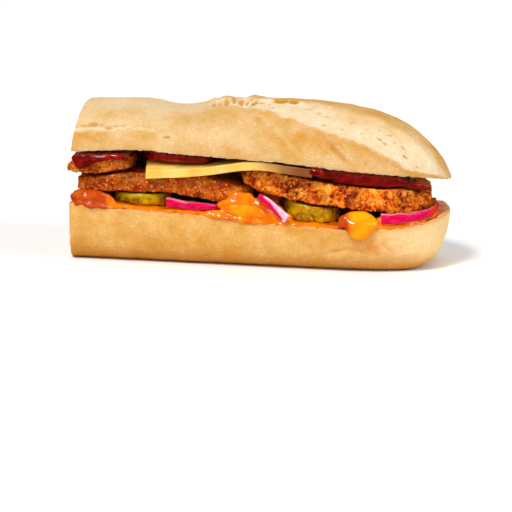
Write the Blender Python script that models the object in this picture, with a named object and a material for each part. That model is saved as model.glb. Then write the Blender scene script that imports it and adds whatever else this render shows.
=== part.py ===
"""Half of a filled baguette sandwich, cut across and lying on its flat base.

The cut end is at -X and the rounded nose at +X. Lengths are millimetres until a mesh is made,
where MM turns them to metres.
"""
import math

import bmesh
import bpy
from mathutils import Vector, noise

MM = 0.001
WELD = 0.00001
GAP = 0.35

# The loaf
CUT_X = -69.0
TIP_X = 71.2
NOSE_X = 30.0
HALF_WIDTH = 33.0
NOSE_POWER = 2.2
CUT_WAVE = 0.5
CUT_LEAN = 1.6
STRAIGHT_STATIONS = 28
NOSE_STATIONS = 15

# Top of the loaf: a dome over the upper rim
DOME_POWER = 2.2
LOWER_SEGMENTS = 6
SLASH_SEGMENTS = 8
BACK_SEGMENTS = 12
FLAT_SEGMENTS = 6
NOSE_RISE = 20.7
NOSE_RISE_X = 34.5
LIP_HEIGHT = 0.9
SLASH_DEPTH = 1.1
OLD_SLASH_DEPTH = 0.7
DENT_DEPTH = 0.5
DENT_GRAIN = 17

# Where the slashes open and fade: millimetres along the loaf, degrees over the dome
SLASH_OPENS = (-24, -14)
SLASH_FADES = (56, 68)
LIP_SPREAD = 4
LIP_SLOPE = 8
OLD_SLASH_FADES = (-58, -32)
OLD_SLASH_LOWER = (22, 30)
OLD_SLASH_UPPER = (42, 58)

# Bottom of the loaf: a soft-cornered trough below the lower rim
UNDER_POWER = 3.2
UNDER_SEGMENTS = 18
BASE_SPREAD = 1.16
KEEL_X = 43.5
KEEL_POWER = 5
NOSE_TILT = 2.4
NOSE_TILT_ALONG = (50, 66)
NOSE_TILT_ACROSS = (-20, 20)
NOSE_TILT_WIDTH = 22

# Crumb of the cut faces
CRUMB_GRAIN = 9
CUT_GRAIN = 14

# The fillings
SPREAD_THICKNESS = 0.5
SPREAD_INSET = 1.3
FILL_FLOOR = 1.15
CHEESE_THICKNESS = 3.0
CHEESE_FRONT = -32.0
CHEESE_BACK = 30.0
CHEESE_LEFT = -41.0
CHEESE_SKEW = -5.0
CHEESE_RIGHT = 20.0
CHEESE_BEND = 3.8
CHICKEN_ROUNDING = 0.6
CHICKEN_CRAGS = 0.7
CRAG_GRAIN = 4
ONION_THICKNESS = 2.2
ONION_LIFT = 0.1
ONION_TAIL_THICKNESS = 1.8
PICKLE_ROUNDING = 0.5
PICKLE_CLEARANCE = 0.5
POOL_ROUNDING = 1.8
CORE_ROUNDING = 1.0
BANK_FOOT = 1.0

# The drop over the rim and the ketchup on the first slice
DROP_LEFT = 30.6
DROP_RIGHT = 44.6
DROP_COLUMNS = 12
DROP_HEIGHT = 4.9
DROP_HANG = 4.2
DROP_BULGE = 2.0
DROP_EDGE = -30.2
RUN_LEFT = -68.4
RUN_RIGHT = -47.6
RUN_COLUMNS = 14
RUN_BULGE = 1.7
RUN_EDGE = -30.9

COLOURS = {
    "crust": ("E9C48E", 0.75),
    "base crust": ("E3AE5E", 0.75),
    "chicken": ("B9571A", 0.6),
    "cheese": ("F8D070", 0.45),
    "ketchup": ("7C100B", 0.2),
    "orange sauce": ("F08A0A", 0.25),
    "pickle": ("B07A08", 0.3),
    "onion": ("DC0F52", 0.3),
}


def curve(points):
    """A smooth curve through a short list of (x, value) points, level beyond its ends."""
    xs = [point[0] for point in points]
    values = [point[1] for point in points]
    last = len(xs) - 1
    slopes = []
    for i in range(len(xs)):
        low, high = max(i - 1, 0), min(i + 1, last)
        slopes.append((values[high] - values[low]) / (xs[high] - xs[low]))

    def value(x):
        x = min(max(x, xs[0]), xs[-1])
        i = min(sum(x > knot for knot in xs[1:]), last - 1)
        span = xs[i + 1] - xs[i]
        t = (x - xs[i]) / span
        rise = values[i + 1] - values[i]
        bend_in = slopes[i] * span - rise
        bend_out = rise - slopes[i + 1] * span
        return values[i] + rise * t + t * (1 - t) * (bend_in * (1 - t) + bend_out * t)

    return value


# Heights along the loaf
upper_rim = curve([(-69, 40.5), (-57, 41.4), (-44, 42.0), (-25, 41.1), (-9, 40.3), (11, 39.5),
                   (26, 38.1), (44, 36.9), (57, 35.7), (66, 34.3), (71.2, 32.8)])
lower_rim = curve([(-69, 21.8), (-38, 19.9), (-13, 18.9), (1, 17.7), (27, 16.5), (36, 16.2),
                   (52, 17.5), (62, 18.8), (71.2, 21.6)])
dome_rise = curve([(-69, 16.4), (-57, 15.9), (-42, 15.7), (-33.5, 14.3), (-27.5, 15.0),
                   (-23, 16.2), (-18, 18.3), (-4, 19.2), (9, 20.3), (20, 21.0), (34.5, NOSE_RISE)])

# Lips of the long slash, in degrees up from the front rim over the dome
front_lip = curve([(-28, 76), (-20, 68), (0, 55), (15, 40), (33, 29), (48, 16), (54, 7)])
back_lip = curve([(-28, 92), (5, 84), (21, 79), (32, 67), (45, 63), (57, 50), (65, 30), (69, 16)])

# Undersides and tops of the fillings
chicken_1_low = curve([(-71.2, 32.3), (-62, 31.9), (-54.5, 33.1), (-47.5, 34.2)])
chicken_1_top = curve([(-71.2, 34.6), (-69.4, 36.6), (-67.4, 38.2), (-62, 38.8), (-56, 38.9),
                       (-47.5, 38.9)])
chicken_2_low = curve([(-68.3, 25.4), (-61.5, 24.9), (-53.5, 25.8), (-34, 25.9), (-21, 24.6),
                       (-15.5, 23.5), (-9, 21.6), (-2.3, 20.4)])
chicken_2_top = curve([(-68.3, 30.2), (-58.5, 31.4), (-49, 33.3), (-21.5, 33.4), (-12, 31.2),
                       (-6.5, 29.6), (-2.3, 28.0)])
chicken_3_low = curve([(-7.5, 31.8), (-2.7, 29.1), (1.8, 27.6), (8.5, 26.4), (15.5, 24.9),
                       (32.5, 23.2), (50.5, 22.0), (58, 22.0), (62.5, 24.0)])
chicken_3_top = curve([(-7.5, 35.3), (0.7, 36.1), (9.9, 35.2), (15.5, 34.2), (22.9, 32.8),
                       (32, 31.8), (45, 31.2), (57.5, 31.0), (62.5, 29.2)])
cheese_low = curve([(-47, 33.9), (-21, 34.0), (-13, 34.9), (-7.5, 36.0), (0.7, 36.6),
                    (9.9, 35.7), (15.5, 35.1), (20, 34.8)])
cheese_droop = curve([(-47, 2.3), (-41, 2.1), (-30, 1.3), (-20, 0.4), (-12, 0.0)])

# How far the ketchup on the first slice runs down its face
ketchup_run = curve([(-69.6, 1.0), (-66, 5.2), (-62, 3.2), (-57, 1.5), (-47.6, 0.3)])

# The strip of onion that hangs out: along, across and up, from its start (0) to its end (1)
tail_along = curve([(0, 0.6), (0.35, 4.2), (0.7, 8.0), (1, 11.4)])
tail_across = curve([(0, -30.9), (0.35, -31.5), (0.7, -32.9), (1, -34.4)])
tail_up = curve([(0, 26.7), (0.35, 24.9), (0.7, 22.0), (1, 19.4)])

# Slices of chicken: middle, half sizes, squareness, unevenness, points, underside and top
CHICKEN = [((-59.4, -1.0), 12.6, 29.0, 8, 0.03, 32, chicken_1_low, chicken_1_top),
           ((-35.3, -0.5), 33.0, 28.5, 8, 0.015, 40, chicken_2_low, chicken_2_top),
           ((28.2, -0.5), 35.7, 28.5, 7, 0.015, 40, chicken_3_low, chicken_3_top)]
# Chips of pickle: middle, radius, highest top and the underside of the slice over it
PICKLES = [((-43.4, -17.4), 11.2, 26.0, chicken_2_low), ((20.0, -18.4), 10.7, 25.2, chicken_3_low),
           ((-30.0, 15.5), 11.8, 25.2, chicken_2_low), ((34.0, 14.0), 11.4, 22.8, chicken_3_low)]
# Parts of onion rings: middle, radius, degrees from and to, height at start and end
ONION_RINGS = {1: ((-24.0, -14.6), 16.0, -125, -50, (3.8, 2.5)),
               3: ((45.0, -9.0), 21.0, -88, 12, (4.3, 2.6)),
               4: ((8.0, 10.0), 18.0, 40, 125, (2.8, 2.8)),
               5: ((-52.0, 8.0), 17.0, 55, 108, (2.4, 2.4))}
# Mounds of sauce under the slices: middle and half sizes
SAUCE_CORES = [((4.0, 0.0), 5.0, 19.5), ((52.4, 4.0), 5.8, 13.0)]
# Banks of sauce on the slices' sides: middle, half sizes and height
SAUCE_BANKS = {"sauce_front": ((-60.4, -31.3), 8.4, 1.8, 2.8),
               "sauce_middle": ((-4.2, -31.4), 9.2, 2.0, 3.4),
               "sauce_back": ((-11.5, 30.9), 6.8, 2.1, 4.6)}


def clamp(value, low, high):
    """The value kept between low and high."""
    return min(max(value, low), high)


def soft_step(value, start, end):
    """0 before start, 1 after end and smooth between."""
    t = clamp((value - start) / (end - start), 0.0, 1.0)
    return t * t * (3 - 2 * t)


def powered(value, power):
    """A sine or cosine bent towards a squarer outline, with its sign kept."""
    return math.copysign(abs(value) ** (2 / power), value)


def rough(x, y, z, grain):
    """Smooth noise between about -1 and 1, with bumps of the grain's size."""
    return noise.noise(Vector((x, y, z)) / grain)


def new_material(slot):
    """A material in the colour of the food."""
    material = bpy.data.materials.new(slot)
    material.use_nodes = True
    hex_colour, roughness = COLOURS[slot]
    channels = [int(hex_colour[i:i + 2], 16) / 255 for i in (0, 2, 4)]
    shader = material.node_tree.nodes["Principled BSDF"]
    shader.inputs["Base Color"].default_value = [c ** 2.2 for c in channels] + [1.0]
    shader.inputs["Roughness"].default_value = roughness
    shader.inputs["Metallic"].default_value = 0.0
    return material


def loft(name, slot, rings, collection):
    """An object whose skin joins rings of points one after the other, closed at both ends."""
    bm = bmesh.new()
    loops = []
    for ring in rings:
        loops.append([bm.verts.new(Vector(point) * MM) for point in ring])
    for near, far in zip(loops, loops[1:]):
        for i in range(len(near)):
            j = (i + 1) % len(near)
            bm.faces.new((near[i], near[j], far[j], far[i]))
    bm.faces.new(loops[0])
    bm.faces.new(loops[-1])
    bmesh.ops.remove_doubles(bm, verts=bm.verts, dist=WELD)
    bmesh.ops.recalc_face_normals(bm, faces=bm.faces)
    bmesh.ops.triangulate(bm, faces=bm.faces)
    mesh = bpy.data.meshes.new(name)
    bm.to_mesh(mesh)
    bm.free()
    mesh.shade_smooth()
    mesh.set_sharp_from_angle(angle=math.radians(50))
    mesh.materials.append(new_material(slot))
    piece = bpy.data.objects.new(name, mesh)
    collection.objects.link(piece)
    return piece


def half_width(x):
    """Half the loaf's depth at x: straight, then closing to the rounded nose."""
    t = clamp((x - NOSE_X) / (TIP_X - NOSE_X), 0.0, 1.0)
    return HALF_WIDTH * (1 - t ** NOSE_POWER) ** (1 / NOSE_POWER)


def stations():
    """Places of the loaf's sections: even along the straight part, closer towards the tip."""
    step = (NOSE_X - CUT_X) / STRAIGHT_STATIONS
    straight = [CUT_X + step * i for i in range(STRAIGHT_STATIONS)]
    turn = math.pi / 2 / NOSE_STATIONS
    nose = [NOSE_X + (TIP_X - NOSE_X) * math.sin(turn * i) for i in range(NOSE_STATIONS + 1)]
    return straight + nose


def cut_wave(x, y, z):
    """The knife left the cut end slightly uneven, and leaning in towards the crest."""
    if x > CUT_X:
        return x
    return x + CUT_WAVE * rough(x, y, z, CUT_GRAIN) + CUT_LEAN * soft_step(z, 38, 58)


def top_rise(x):
    """Height of the dome's crest over the upper rim."""
    if x < NOSE_RISE_X:
        return dome_rise(x)
    t = clamp((x - NOSE_RISE_X) / (TIP_X - NOSE_RISE_X), 0.0, 1.0)
    return NOSE_RISE * (1 - t ** 1.9) ** 0.72


def dome_angles(x):
    """Degrees over the dome, with points on both lips of the slash."""
    front, back = front_lip(x), back_lip(x)
    angles = [front * i / LOWER_SEGMENTS for i in range(LOWER_SEGMENTS)]
    angles += [front + (back - front) * i / SLASH_SEGMENTS for i in range(SLASH_SEGMENTS)]
    angles += [back + (180 - back) * i / BACK_SEGMENTS for i in range(BACK_SEGMENTS + 1)]
    return angles


def crust_relief(x, angle):
    """How far the crust stands out or sinks: the torn slash, an older one and soft dents."""
    front, back = front_lip(x), back_lip(x)
    open_slash = soft_step(x, *SLASH_OPENS) * (1 - soft_step(x, *SLASH_FADES))
    lips = math.exp(-((angle - front) / LIP_SPREAD) ** 2)
    lips += math.exp(-((angle - back) / LIP_SPREAD) ** 2)
    inside = soft_step(angle, front, front + LIP_SLOPE) * (1 - soft_step(angle, back - LIP_SLOPE, back))
    old_slash = 1 - soft_step(x, *OLD_SLASH_FADES)
    old_inside = soft_step(angle, *OLD_SLASH_LOWER) * (1 - soft_step(angle, *OLD_SLASH_UPPER))
    relief = open_slash * (LIP_HEIGHT * lips - SLASH_DEPTH * inside)
    relief -= OLD_SLASH_DEPTH * old_slash * old_inside
    return relief + DENT_DEPTH * rough(x, angle / 3, 0, DENT_GRAIN)


def bun_top_ring(x):
    """One section of the top: over the dome from the front rim, then back under it."""
    width, rim, rise = half_width(x), upper_rim(x), top_rise(x)
    edge = min(width, rise) / HALF_WIDTH
    ring = []
    for angle in dome_angles(x):
        turn = math.radians(angle)
        across, up = math.cos(turn), max(math.sin(turn), 0.0)
        relief = crust_relief(x, angle) * soft_step(edge, 0, 0.3) * soft_step(up, 0, 0.25)
        y = -width * powered(across, DOME_POWER) - across * relief
        z = rim + rise * powered(up, DOME_POWER) + up * relief
        ring.append((cut_wave(x, y, z), y, z))
    for i in range(1, FLAT_SEGMENTS):
        y = width - 2 * width * i / FLAT_SEGMENTS
        z = rim + edge * abs(rough(x, y, 0, CRUMB_GRAIN))
        ring.append((cut_wave(x, y, z), y, z))
    return ring


def base_height(x):
    """Height of the base: flat, then curving up under the nose."""
    t = clamp((x - KEEL_X) / (TIP_X - KEEL_X), 0.0, 1.0)
    return lower_rim(x) * (1 - math.sqrt(1 - t ** KEEL_POWER))


def lower_face(x, y):
    """Height of the lower cut face: level across, but rising to the back at the nose."""
    tilt = NOSE_TILT * soft_step(x, *NOSE_TILT_ALONG) * soft_step(y, *NOSE_TILT_ACROSS)
    return lower_rim(x) + tilt * half_width(x) / NOSE_TILT_WIDTH


def bun_bottom_ring(x):
    """One section of the bottom: across the cut face, then round under it."""
    width, base = half_width(x), base_height(x)
    ring = []
    for i in range(FLAT_SEGMENTS + 1):
        y = -width + 2 * width * i / FLAT_SEGMENTS
        sunk = abs(rough(x, y, 5, CRUMB_GRAIN)) * width / HALF_WIDTH
        z = lower_face(x, y) - sunk * (0 < i < FLAT_SEGMENTS)
        ring.append((cut_wave(x, y, z), y, z))
    for i in range(1, UNDER_SEGMENTS):
        turn = math.pi * i / UNDER_SEGMENTS
        y = width * powered(math.cos(turn), UNDER_POWER)
        rim = lower_face(x, y)
        depth = BASE_SPREAD * (rim - base) * powered(math.sin(turn), UNDER_POWER)
        z = max(base, rim - depth)
        ring.append((cut_wave(x, y, z), y, z))
    return ring


def fill_floor(x, y):
    """Where pieces rest on the sauce that covers the lower cut face."""
    return lower_face(x, y) + FILL_FLOOR


def oval(centre, half_x, half_y, power, wobble, points, seed, inset=2.0):
    """Plan outline of a piece: a squarish oval with an uneven edge, kept inside the loaf."""
    outline = []
    for i in range(points):
        turn = 2 * math.pi * i / points
        across, along = math.sin(turn), math.cos(turn)
        reach = (abs(along / half_x) ** power + abs(across / half_y) ** power) ** (-1 / power)
        reach *= 1 + wobble * rough(2 * along, 2 * across, seed, 1)
        x = centre[0] + reach * along
        room = max(half_width(x) - inset, 1.0)
        outline.append((x, clamp(centre[1] + reach * across, -room, room)))
    return outline


def slab_rings(outline, low, top, rounding, crags=0.0):
    """Rings of a flat piece: in from its middle, round its edge and back over its top."""
    centre_x = sum(point[0] for point in outline) / len(outline)
    centre_y = sum(point[1] for point in outline) / len(outline)
    reach = min(max(abs(point[1] - centre_y) for point in outline),
                max(abs(point[0] - centre_x) for point in outline))
    flat = 1 - rounding / reach
    steps = [(0.0, 0.0), (0.45 * flat, 0.0), (0.8 * flat, 0.0)]
    for degrees in (-90, -50, -15, 15, 50, 90):
        turn = math.radians(degrees)
        inward = rounding / reach * (1 - math.cos(turn))
        steps.append((1 - inward, 0.5 + 0.5 * powered(math.sin(turn), 3)))
    steps += [(0.8 * flat, 1.0), (0.45 * flat, 1.0), (0.0, 1.0)]
    rings = []
    for share, level in steps:
        ring = []
        for outline_x, outline_y in outline:
            x = centre_x + (outline_x - centre_x) * share
            y = centre_y + (outline_y - centre_y) * share
            thickness = top(x, y) - low(x, y)
            sunk = crags * abs(rough(x, y, 20 * level, CRAG_GRAIN)) * (1 - 2 * level)
            ring.append((x, y, low(x, y) + thickness * level + sunk))
        rings.append(ring)
    return rings


def chicken(number, collection):
    """A slice of roast chicken with a craggy, slightly rounded edge."""
    centre, half_x, half_y, power, wobble, points, low, top = CHICKEN[number - 1]
    outline = oval(centre, half_x, half_y, power, wobble, points, number)
    rings = slab_rings(outline, lambda x, y: low(x), lambda x, y: top(x), CHICKEN_ROUNDING, CHICKEN_CRAGS)
    return loft(f"chicken_{number}", "chicken", rings, collection)


def cheese_underside(x, y):
    """The cheese lies on the chicken and droops over its front edge."""
    droop = cheese_droop(x) * (1 - soft_step(y, CHEESE_FRONT, CHEESE_FRONT + CHEESE_BEND))
    return cheese_low(x) - droop


def cheese_skew(y):
    """How far the slanting cut moves the cheese's left end at y."""
    return CHEESE_SKEW * (y - CHEESE_FRONT) / (CHEESE_BACK - CHEESE_FRONT)


def cheese(collection):
    """A slice of cheese with sharp edges, its left end cut askew and its rows closest in front."""
    columns, rows, closeness = 18, 10, 2.2
    rings = []
    for i in range(columns + 1):
        share = i / columns
        ring = []
        for side in (0, 1):
            for j in range(rows + 1):
                run = j / rows if side == 0 else 1 - j / rows
                y = CHEESE_BACK + (CHEESE_FRONT - CHEESE_BACK) * (1 - (1 - run) ** closeness)
                left = CHEESE_LEFT + cheese_skew(y)
                x = left + (CHEESE_RIGHT - left) * share
                ring.append((x, y, cheese_underside(x, y) + side * CHEESE_THICKNESS))
        rings.append(ring)
    return loft("cheese", "cheese", rings, collection)


def sauce_spread(collection):
    """The thin layer of sauce on the lower cut face."""
    rows, columns, end = 6, 28, 66.0
    start = CUT_X + 0.8
    rings = []
    for i in range(columns + 1):
        x = start + (end - start) * i / columns
        reach = half_width(x) - SPREAD_INSET
        ring = []
        for side in (0, 1):
            for j in range(rows + 1):
                run = j / rows if side == 0 else 1 - j / rows
                y = reach * (2 * run - 1)
                ring.append((x, y, lower_face(x, y) + GAP + side * SPREAD_THICKNESS))
        rings.append(ring)
    return loft("sauce_spread", "orange sauce", rings, collection)


def sauce_left(collection):
    """The dollop of sauce squeezed out under the chicken at the cut end."""
    outline = oval((-62.2, -20.4), 6.3, 8.0, 2.6, 0.1, 18, 3)
    rings = slab_rings(outline, fill_floor, lambda x, y: chicken_2_low(x) - 1.0, 1.2)
    return loft("sauce_left", "orange sauce", rings, collection)


def sauce_core(number, collection):
    """A mound of sauce between the pickles, up to the third slice over it."""
    centre, half_x, half_y = SAUCE_CORES[number - 1]
    outline = oval(centre, half_x, half_y, 3.0, 0.05, 18, 10 + number)
    rings = slab_rings(outline, fill_floor, lambda x, y: chicken_3_low(x) - GAP, CORE_ROUNDING)
    return loft(f"sauce_core_{number}", "orange sauce", rings, collection)


def sauce_bank(name, collection):
    """A bank of sauce along the rim, in front of what lies on the spread."""
    centre, half_x, half_y, height = SAUCE_BANKS[name]
    outline = oval(centre, half_x, half_y, 2.2, 0.0, 18, 0, inset=-0.3)

    def top(x, y):
        across = min(abs(x - centre[0]) / half_x, 1.0)
        return fill_floor(x, y) + BANK_FOOT + height * math.sqrt(1 - across ** 2)

    rings = slab_rings(outline, fill_floor, top, CORE_ROUNDING)
    return loft(name, "orange sauce", rings, collection)


def hanging_ring(x, back, edge, floor, top, hang, thick):
    """A section of a pool that runs over an edge: along its floor, down the drop and back over."""
    ring = []
    for i in range(5):
        ring.append((x, back + (edge - back) * i / 4, floor))
    ring.append((x, edge, floor - 0.55 * hang))
    ring.append((x, edge, floor - 0.95 * hang))
    ring.append((x, edge - 0.5 * thick, floor - 1.05 * hang))
    ring.append((x, edge - 0.9 * thick, floor - 0.85 * hang))
    ring.append((x, edge - thick, floor - 0.4 * hang))
    ring.append((x, edge - 0.8 * thick, floor + 0.3 * (top - floor)))
    for i in range(5):
        run = i / 4
        y = edge + (back - edge) * run
        ring.append((x, y, top - (top - floor) * 0.5 * abs(2 * run - 0.9) ** 3))
    return ring


def sauce_drop(collection):
    """The large drop that runs over the rim."""
    middle, reach = (DROP_LEFT + DROP_RIGHT) / 2, (DROP_RIGHT - DROP_LEFT) / 2
    rings = []
    for i in range(DROP_COLUMNS + 1):
        u = -math.cos(math.pi * i / DROP_COLUMNS)
        x = middle + reach * u
        swell = math.sqrt(max(0.0, 1 - u * u))
        lobe = max(0.0, 1 - (u - 0.15) ** 2 * 1.5) ** 0.5 * swell
        floor = fill_floor(x, DROP_EDGE)
        top = floor + 0.2 + swell * DROP_HEIGHT
        rings.append(hanging_ring(x, DROP_EDGE + 5.5 * swell, -half_width(x) - GAP, floor, top,
                                  lobe * DROP_HANG, 0.3 + DROP_BULGE * lobe))
    return loft("sauce_drop", "orange sauce", rings, collection)


def ketchup_1(collection):
    """Ketchup on the first slice, running down its front face."""
    middle, reach = (RUN_LEFT + RUN_RIGHT) / 2, (RUN_RIGHT - RUN_LEFT) / 2
    rings = []
    for i in range(RUN_COLUMNS + 1):
        u = -math.cos(math.pi * i / RUN_COLUMNS)
        x = middle + reach * u
        swell = max(0.0, 1 - u ** 6) ** 0.5
        floor = chicken_1_top(x) + GAP
        top = floor + 0.1 + swell * (upper_rim(x) - GAP - 0.1 - floor)
        rings.append(hanging_ring(x, -20 + 45 * swell, RUN_EDGE, floor, top,
                                  swell * ketchup_run(x), 0.2 + RUN_BULGE * swell))
    return loft("ketchup_1", "ketchup", rings, collection)


def ketchup_2(collection):
    """Ketchup between the cheese and the top."""
    oval_outline = oval((-28.9, -0.5), 14.4, 28.4, 4.0, 0.04, 26, 7)
    outline = [(x + cheese_skew(y), y) for x, y in oval_outline]
    rings = slab_rings(outline, lambda x, y: cheese_low(x) + CHEESE_THICKNESS + GAP,
                       lambda x, y: upper_rim(x) - GAP, POOL_ROUNDING)
    return loft("ketchup_2", "ketchup", rings, collection)


def ketchup_3(collection):
    """Ketchup between the third slice and the top."""
    outline = oval((39.0, -0.5), 18.4, 28.2, 4.5, 0.03, 28, 9)
    rings = slab_rings(outline, lambda x, y: chicken_3_top(x) + GAP,
                       lambda x, y: upper_rim(x) - GAP, POOL_ROUNDING)
    return loft("ketchup_3", "ketchup", rings, collection)


def pickle(number, collection):
    """A thick chip of pickled cucumber, lying on the spread."""
    centre, radius, highest, over = PICKLES[number - 1]
    outline = oval(centre, radius, radius, 2.0, 0.04, 20, number)
    rings = slab_rings(outline, fill_floor, lambda x, y: min(highest, over(x) - PICKLE_CLEARANCE),
                       PICKLE_ROUNDING)
    return loft(f"pickle_{number}", "pickle", rings, collection)


def strip_rings(path, width, heights):
    """Sections of a strip of onion along a path of points, its height from start to end."""
    rings = []
    last = len(path) - 1
    for i, point in enumerate(path):
        ahead = (Vector(path[min(i + 1, last)]) - Vector(path[max(i - 1, 0)])).normalized()
        side = ahead.cross(Vector((0, 0, 1))).normalized()
        up = side.cross(ahead)
        height = heights[0] + (heights[1] - heights[0]) * i / last
        ring = []
        for k in range(8):
            turn = math.pi * (k + 0.5) / 4
            across = 0.5 * width * powered(math.cos(turn), 3)
            rise = 0.5 * height * powered(math.sin(turn), 3)
            ring.append(Vector(point) + side * across + up * rise)
        rings.append(ring)
    return rings


def onion_ring(number, collection):
    """Part of a ring of red onion that lies on the spread."""
    centre, radius, start, end, heights = ONION_RINGS[number]
    steps = 14
    path = []
    for i in range(steps + 1):
        turn = math.radians(start + (end - start) * i / steps)
        x = centre[0] + radius * math.cos(turn)
        y = centre[1] + radius * math.sin(turn)
        height = heights[0] + (heights[1] - heights[0]) * i / steps
        path.append((x, y, fill_floor(x, y) + height / 2 + ONION_LIFT))
    return loft(f"onion_{number}", "onion", strip_rings(path, ONION_THICKNESS, heights), collection)


def onion_tail(collection):
    """The strip of onion whose end hangs out at the front."""
    steps = 12
    path = []
    for i in range(steps + 1):
        share = i / steps
        path.append((tail_along(share), tail_across(share), tail_up(share)))
    return loft("onion_2", "onion", strip_rings(path, ONION_TAIL_THICKNESS, (2.6, 3.9)), collection)


def centre_on_base(collection):
    """Move every mesh so that the sandwich's box is centred over the origin."""
    corners = []
    for piece in collection.objects:
        corners += [vertex.co.copy() for vertex in piece.data.vertices]
    shift = Vector((0, 0, -min(corner.z for corner in corners)))
    shift.x = -(min(corner.x for corner in corners) + max(corner.x for corner in corners)) / 2
    shift.y = -(min(corner.y for corner in corners) + max(corner.y for corner in corners)) / 2
    for piece in collection.objects:
        for vertex in piece.data.vertices:
            vertex.co += shift
    print("moved by mm", [round(value / MM, 3) for value in shift])


def main():
    for old in list(bpy.data.objects):
        bpy.data.objects.remove(old, do_unlink=True)
    sandwich = bpy.data.collections.new("submarine_sandwich")
    bpy.context.scene.collection.children.link(sandwich)

    loft("bun_bottom", "base crust", [bun_bottom_ring(x) for x in stations()], sandwich)
    loft("bun_top", "crust", [bun_top_ring(x) for x in stations()], sandwich)

    sauce_spread(sandwich)
    sauce_left(sandwich)
    sauce_core(1, sandwich)
    sauce_core(2, sandwich)
    for name in SAUCE_BANKS:
        sauce_bank(name, sandwich)
    sauce_drop(sandwich)

    for number in (1, 2, 3, 4):
        pickle(number, sandwich)
    for number in ONION_RINGS:
        onion_ring(number, sandwich)
    onion_tail(sandwich)
    for number in (1, 2, 3):
        chicken(number, sandwich)

    cheese(sandwich)
    ketchup_1(sandwich)
    ketchup_2(sandwich)
    ketchup_3(sandwich)
    centre_on_base(sandwich)


main()
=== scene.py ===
# %% [markdown]
# # A filled baguette sandwich
# The imported solids already have every slice and sauce in its place and at its true size.
# This lesson gives them their looks: baked crust, torn crumb, spiced chicken, glossy sauces.
# Everything is worked out in millimetres, and each finished mesh is turned to metres.

# %% Load the frame and list its parts
import math
import random
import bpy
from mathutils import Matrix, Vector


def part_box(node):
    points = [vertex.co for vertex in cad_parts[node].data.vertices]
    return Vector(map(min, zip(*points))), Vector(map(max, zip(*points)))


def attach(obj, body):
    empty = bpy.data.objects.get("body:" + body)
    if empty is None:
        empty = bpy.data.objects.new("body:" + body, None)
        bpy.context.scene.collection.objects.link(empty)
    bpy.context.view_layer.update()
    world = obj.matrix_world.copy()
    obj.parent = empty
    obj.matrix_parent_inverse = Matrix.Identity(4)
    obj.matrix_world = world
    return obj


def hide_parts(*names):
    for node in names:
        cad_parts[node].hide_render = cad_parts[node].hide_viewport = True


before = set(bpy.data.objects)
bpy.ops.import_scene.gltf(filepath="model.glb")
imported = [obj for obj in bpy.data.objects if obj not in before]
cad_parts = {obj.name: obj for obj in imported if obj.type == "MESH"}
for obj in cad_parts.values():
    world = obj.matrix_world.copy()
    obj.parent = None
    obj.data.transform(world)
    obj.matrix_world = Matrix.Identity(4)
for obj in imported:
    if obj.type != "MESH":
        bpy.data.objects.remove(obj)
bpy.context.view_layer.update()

from types import SimpleNamespace

import bmesh
import bpy
import numpy as np
from mathutils import Matrix, Vector, noise

MM = 0.001
WELD_MM = 0.01
random.seed(12)
print("nodes:", ", ".join(sorted(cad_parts)))

# %% [markdown]
# ## Where things are
# The loaf is described by a few heights along its length. Two curves give the cut faces of its
# halves, one the rise of the dome, and two the lips of the long slash, in degrees over the dome.
# The frame tells where the nose and the back of the loaf are, so the curves are set against them.

# %% Shape of the loaf
TIP_X = 71.2
CUT_X = -69.0
NOSE_X = 30.0
HALF_WIDTH = 33.0
NOSE_POWER = 2.2
DOME_POWER = 2.2
NOSE_RISE = 20.7
NOSE_RISE_X = 34.5

top_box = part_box("bun_top")
SHIFT = np.array([top_box[1].x / MM - TIP_X, top_box[1].y / MM - HALF_WIDTH, 0.0])


def curve(points):
    """A smooth curve through (x, value) points, for whole arrays of x."""
    xs, values = np.array(points, float).T
    slopes = np.empty(len(xs))
    for i in range(len(xs)):
        low, high = max(i - 1, 0), min(i + 1, len(xs) - 1)
        slopes[i] = (values[high] - values[low]) / (xs[high] - xs[low])

    def value(x):
        x = np.clip(x, xs[0], xs[-1])
        i = np.clip(np.searchsorted(xs, x) - 1, 0, len(xs) - 2)
        span = xs[i + 1] - xs[i]
        t = (x - xs[i]) / span
        rise = values[i + 1] - values[i]
        bend_in = slopes[i] * span - rise
        bend_out = rise - slopes[i + 1] * span
        return values[i] + rise * t + t * (1 - t) * (bend_in * (1 - t) + bend_out * t)

    return value


upper_rim = curve([(-69, 40.5), (-57, 41.4), (-44, 42.0), (-25, 41.1), (-9, 40.3), (11, 39.5),
                   (26, 38.1), (44, 36.9), (57, 35.7), (66, 34.3), (71.2, 32.8)])
lower_rim = curve([(-69, 21.8), (-38, 19.9), (-13, 18.9), (1, 17.7), (27, 16.5), (36, 16.2),
                   (52, 17.5), (62, 18.8), (71.2, 21.6)])
dome_rise = curve([(-69, 16.4), (-57, 15.9), (-42, 15.7), (-33.5, 14.3), (-27.5, 15.0),
                   (-23, 16.2), (-18, 18.3), (-4, 19.2), (9, 20.3), (20, 21.0), (34.5, NOSE_RISE)])
front_lip = curve([(-28, 76), (-20, 68), (0, 55), (15, 40), (33, 29), (48, 16), (54, 7)])
back_lip = curve([(-28, 92), (5, 84), (21, 79), (32, 67), (45, 63), (57, 50), (65, 30), (69, 16)])


def soft_step(value, start, end):
    """0 before start, 1 after end and smooth between."""
    t = np.clip((value - start) / (end - start), 0.0, 1.0)
    return t * t * (3 - 2 * t)


def half_width(x):
    """Half the loaf's depth at x."""
    t = np.clip((x - NOSE_X) / (TIP_X - NOSE_X), 0.0, 0.9999)
    return HALF_WIDTH * (1 - t ** NOSE_POWER) ** (1 / NOSE_POWER)


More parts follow.
